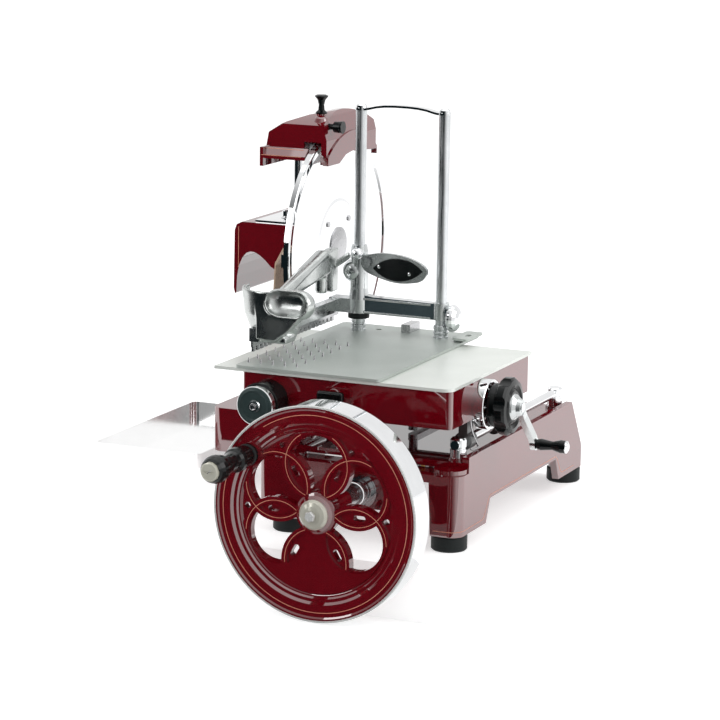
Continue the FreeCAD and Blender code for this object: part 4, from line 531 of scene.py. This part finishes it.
def hood_lines_and_highlights():
    """Gold lines across the hood's front, one at its eave and one at the ledge above; along these edges they
    are also painted highlights.
    """
    left, right, before = -402, -338, 200
    # gold lining that also serves as painted highlights of the eave's and ledge's edges
    for name, z in (("hood_eave_line_and_highlight", 441.5), ("hood_ledge_line_and_highlight", 450.0)):
        looks = looks_along(place(left, before, z), place(right, before, z), 16, BACK)
        laid_line(name, "sharpener_hood", looks, "sharpener")


def head_line():
    """One upright gold line near the outer edge of the head's front."""
    x, before, low, high = -437, 200, 262, 338
    looks = looks_along(place(x, before, low), place(x, before, high), 12, BACK)
    laid_line("head_line", "blade_carrier", looks, "machine_base")


# ---------------------------------------------------------------- press, knobs and latch

RIVET = [(0, 0), (0, 2.3), (0.5, 2.2), (0.9, 1.4), (1.0, 0)]
KNOB_SCREW = [(0, 0), (0, 4.6), (0.8, 4.6), (1.2, 4.0), (0.9, 3.0), (1.3, 2.6), (1.4, 0)]


def lever_face():
    """The black front of the press lever, and its two bright rivets."""
    for number, (x, z) in enumerate(((-199.9, 309.5), (-155.9, 302.8)), start=1):
        lathe(f"lever_rivet_{number}", place(x, 223.7, z), FRONT, RIVET, "chrome", "lever", 20)
    front_of_lever = 225.5
    repaint("press_lever", "black_plastic", lambda spot: spot.y < front_of_lever)


def thickness_knob_face():
    """The dark face of the thickness knob, and the screw in its middle."""
    x, z, face, hub_radius, rim_radius = -236, 174, -75.2, 8.2, 24
    repaint("thickness_knob", "knob_face",
            lambda spot: spot.y < face and hub_radius < off_axis(spot, x, z) < rim_radius)
    lathe("knob_screw", place(x, -80.3, z), FRONT, KNOB_SCREW, "steel", "thickness_dial", 28)


def bright_ends_and_band_highlight():
    """The bright end of the crank's grip, the right stop, and a painted highlight along the front edge of the
    wheel's chrome band.
    """
    end, end_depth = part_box("crank_grip")[1].x / MM, 2.6
    repaint("crank_grip", "chrome", lambda spot: spot.x > end - end_depth)
    between_stops = -200
    repaint("rubber_stops", "steel", lambda spot: spot.x > between_stops)
    # painted highlight: a thin satin silver strip on the chrome band's front edge, where it looks bright
    edge, edge_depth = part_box("flywheel_band")[0].y / MM, 0.8
    repaint("flywheel_band", "silver_plate", lambda spot: spot.y < edge + edge_depth)


def carriage_latch():
    """A bent wire that hangs from the carriage and hooks beside the guide post."""
    spine = bend([place(12, 33, 161), place(12, 39, 146), place(12, 47, 136), place(12, 58, 124),
                  place(12, 60, 120.6), place(12, 55, 119.4), place(12, 44, 119.8), place(12, 36, 122)])
    wire("latch_wire", spine, 1.1, "carriage")


def arm_spring():
    """A short bent wire that stands on the scoop's casting."""
    spine = bend([place(-276, 238, 326), place(-276, 240, 332), place(-275, 246, 337), place(-273, 251, 343)])
    wire("arm_spring", spine, 0.9, "press")


def beam_ribs():
    """The beam between the columns is hollow in front: an upper and a lower rib, with painted shade on the
    flat front between them where the recess is dark.
    """
    left, right, front, low, high = -229, -132.5, 244.5, 240.6, 262.0
    rise, proud, depth, slope = 3.6, 2.2, 1.0, 0.5
    for name, foot in (("upper", high - rise), ("lower", low)):
        section = ((front - proud, foot + slope), (front - proud, foot + rise - slope),
                   (front + depth, foot + rise), (front + depth, foot))
        rings = [[place(x, y, z) for y, z in section] for x in (left, right)]
        rib = ring_piece(f"beam_{name}_rib", rings, "polished_aluminium", "press", smooth=False)
        round_piece(rib, 0.5)
    # the beam's front between the ribs gets the painted shade of the recess
    repaint("press_bridge", "beam_painted_shade", lambda spot: abs(spot.y - front) < 0.1 and spot.x > left - 1)


wheel_lines()
hub_nut()
grip_end()
base_lines()
hood_lines_and_highlights()
head_line()
lever_face()
thickness_knob_face()
bright_ends_and_band_highlight()
carriage_latch()
arm_spring()
beam_ribs()
cast_look("press_scoop", grain=1.4, passes=10)
EDGE_ROUNDS = {"base_casting": 2.5, "carriage_table": 0.8, "feed_table": 0.8, "blade_carrier": 1.2,
               "sharpener_hood": 1.0, "press_bridge": 1.2, "receiving_tray": 0.6}
for node, width in EDGE_ROUNDS.items():
    round_edges(node, width)

# ---------------------------------------------------------------- floor

STEP_FRONT, GROUND, FAR = -0.10, -0.070, 9.0


def pale_floor():
    """Diffuse white that keeps the shadow, lifted to white for what looks at it."""
    paint = Finish("pale_floor")
    tone = paint.blend(paint.noise(2.0), (0.78, 0.78, 0.78), (0.80, 0.80, 0.80))
    seen = paint.node("ShaderNodeLightPath", pick="Is Camera Ray")
    for ray in ("Is Glossy Ray", "Is Transmission Ray"):
        seen = seen.larger(paint.node("ShaderNodeLightPath", pick=ray))
    glow = paint.node("ShaderNodeEmission", None, WHITE, seen * 0.55)
    both = paint.node("ShaderNodeAddShader", None, paint.node("ShaderNodeBsdfDiffuse", None, tone), glow)
    paint.node("ShaderNodeOutputMaterial", None, both)
    return paint.material


def stage_sheet(name, corners, faces, material):
    mesh = bpy.data.meshes.new(name)
    mesh.from_pydata(corners, [], faces)
    mesh.materials.append(material)
    made = bpy.data.objects.new(name, mesh)
    bpy.context.collection.objects.link(made)
    return made


def floor():
    """A stand with a step: the feet rest on it and the wheel hangs in front of its edge."""
    paint = pale_floor()
    stage_sheet("stand_top", [(-FAR, STEP_FRONT, 0), (FAR, STEP_FRONT, 0), (FAR, FAR, 0), (-FAR, FAR, 0)],
                [(0, 1, 2, 3)], paint)
    ground = stage_sheet("ground", [(-FAR, -FAR, GROUND), (FAR, -FAR, GROUND), (FAR, STEP_FRONT, GROUND),
                                    (-FAR, STEP_FRONT, GROUND), (FAR, STEP_FRONT, 0), (-FAR, STEP_FRONT, 0)],
                         [(0, 1, 2, 3), (3, 2, 4, 5)], paint)
    ground.visible_glossy = False


# ---------------------------------------------------------------- light

DARK_WAY = Vector((-0.42, -0.88, -0.22)).normalized()
DARK_TINT = (0.006, 0.011, 0.013)
LIT_LEVEL = 0.75


def surroundings():
    """White to the eye; to polished pieces a white tent with one dark opening, before and left of them."""
    world = bpy.data.worlds.new("studio")
    bpy.context.scene.world = world
    world.use_nodes = True
    sky = Finish("studio", world.node_tree)
    eye, glossy, through = [sky.node("ShaderNodeLightPath", pick=ray)
                            for ray in ("Is Camera Ray", "Is Glossy Ray", "Is Transmission Ray")]
    way = sky.node("ShaderNodeTexCoord", pick="Generated")
    back = sky.node("ShaderNodeSeparateXYZ", None, way, pick="Y")
    up = sky.node("ShaderNodeSeparateXYZ", None, way, pick="Z")
    left = sky.node("ShaderNodeSeparateXYZ", None, way, pick="X")
    towards_dark = left * DARK_WAY.x + back * DARK_WAY.y + up * DARK_WAY.z
    bright = sky.ramp(towards_dark, (0.15, 1), (0.45, 0.45), (0.62, 0.22), (0.80, 0.0))
    mirrored = sky.node("ShaderNodeBackground", None, sky.blend(bright, DARK_TINT, WHITE), 1.0)
    lit = sky.node("ShaderNodeBackground", None, WHITE, LIT_LEVEL)
    seen = sky.node("ShaderNodeBackground", None, WHITE, 1.0)
    shown = eye.larger(through)
    first = sky.node("ShaderNodeMixShader", None, glossy, lit, mirrored)
    sky.node("ShaderNodeOutputWorld", None, sky.node("ShaderNodeMixShader", None, shown, first, seen))


def lamp(name, spot, aim, size, power):
    """A square softbox: its place, what it faces, its side in metres and its watts."""
    light = bpy.data.lights.new(name, "AREA")
    light.shape = "RECTANGLE"
    light.size, light.size_y = size, size
    light.energy = power
    made = bpy.data.objects.new(name, light)
    made.location = spot
    made.rotation_euler = (Vector(aim) - Vector(spot)).to_track_quat("-Z", "Y").to_euler()
    bpy.context.collection.objects.link(made)


# ---------------------------------------------------------------- camera

CAMERA_PLACE = (1.3537, -3.3234, 0.9634)
CAMERA_TURN, CAMERA_DIP, CAMERA_ROLL = 24, 11.4, 0.8
CAMERA_LENS = 147.5


def camera():
    """Before and right of the machine, a little above it; its turn, dip and roll in degrees."""
    turn, dip, roll = math.radians(CAMERA_TURN), math.radians(CAMERA_DIP), math.radians(CAMERA_ROLL)
    ahead = Vector((-math.sin(turn) * math.cos(dip), math.cos(turn) * math.cos(dip), -math.sin(dip)))
    level = Vector((math.cos(turn), math.sin(turn), 0))
    up = level.cross(ahead)
    right = level * math.cos(roll) + up * math.sin(roll)
    top = up * math.cos(roll) - level * math.sin(roll)
    eye = bpy.data.cameras.new("camera")
    eye.lens = CAMERA_LENS
    eye.sensor_width = 36
    eye.clip_end = 50
    made = bpy.data.objects.new("camera", eye)
    facing = Matrix((right, top, -ahead)).transposed().to_4x4()
    made.matrix_world = Matrix.Translation(CAMERA_PLACE) @ facing
    bpy.context.collection.objects.link(made)
    bpy.context.scene.camera = made


floor()
surroundings()
lamp("right_softbox", (2.2, 0.3, 1.6), (-0.1, 0.1, 0.2), 1.8, 24)
lamp("left_softbox", (-2.0, -1.9, 1.5), (-0.2, 0.1, 0.2), 1.6, 24)
lamp("top_softbox", (0.0, 0.6, 2.6), (-0.2, 0.1, 0.2), 2.4, 12)
camera()
bpy.context.scene.view_settings.view_transform = "Standard"
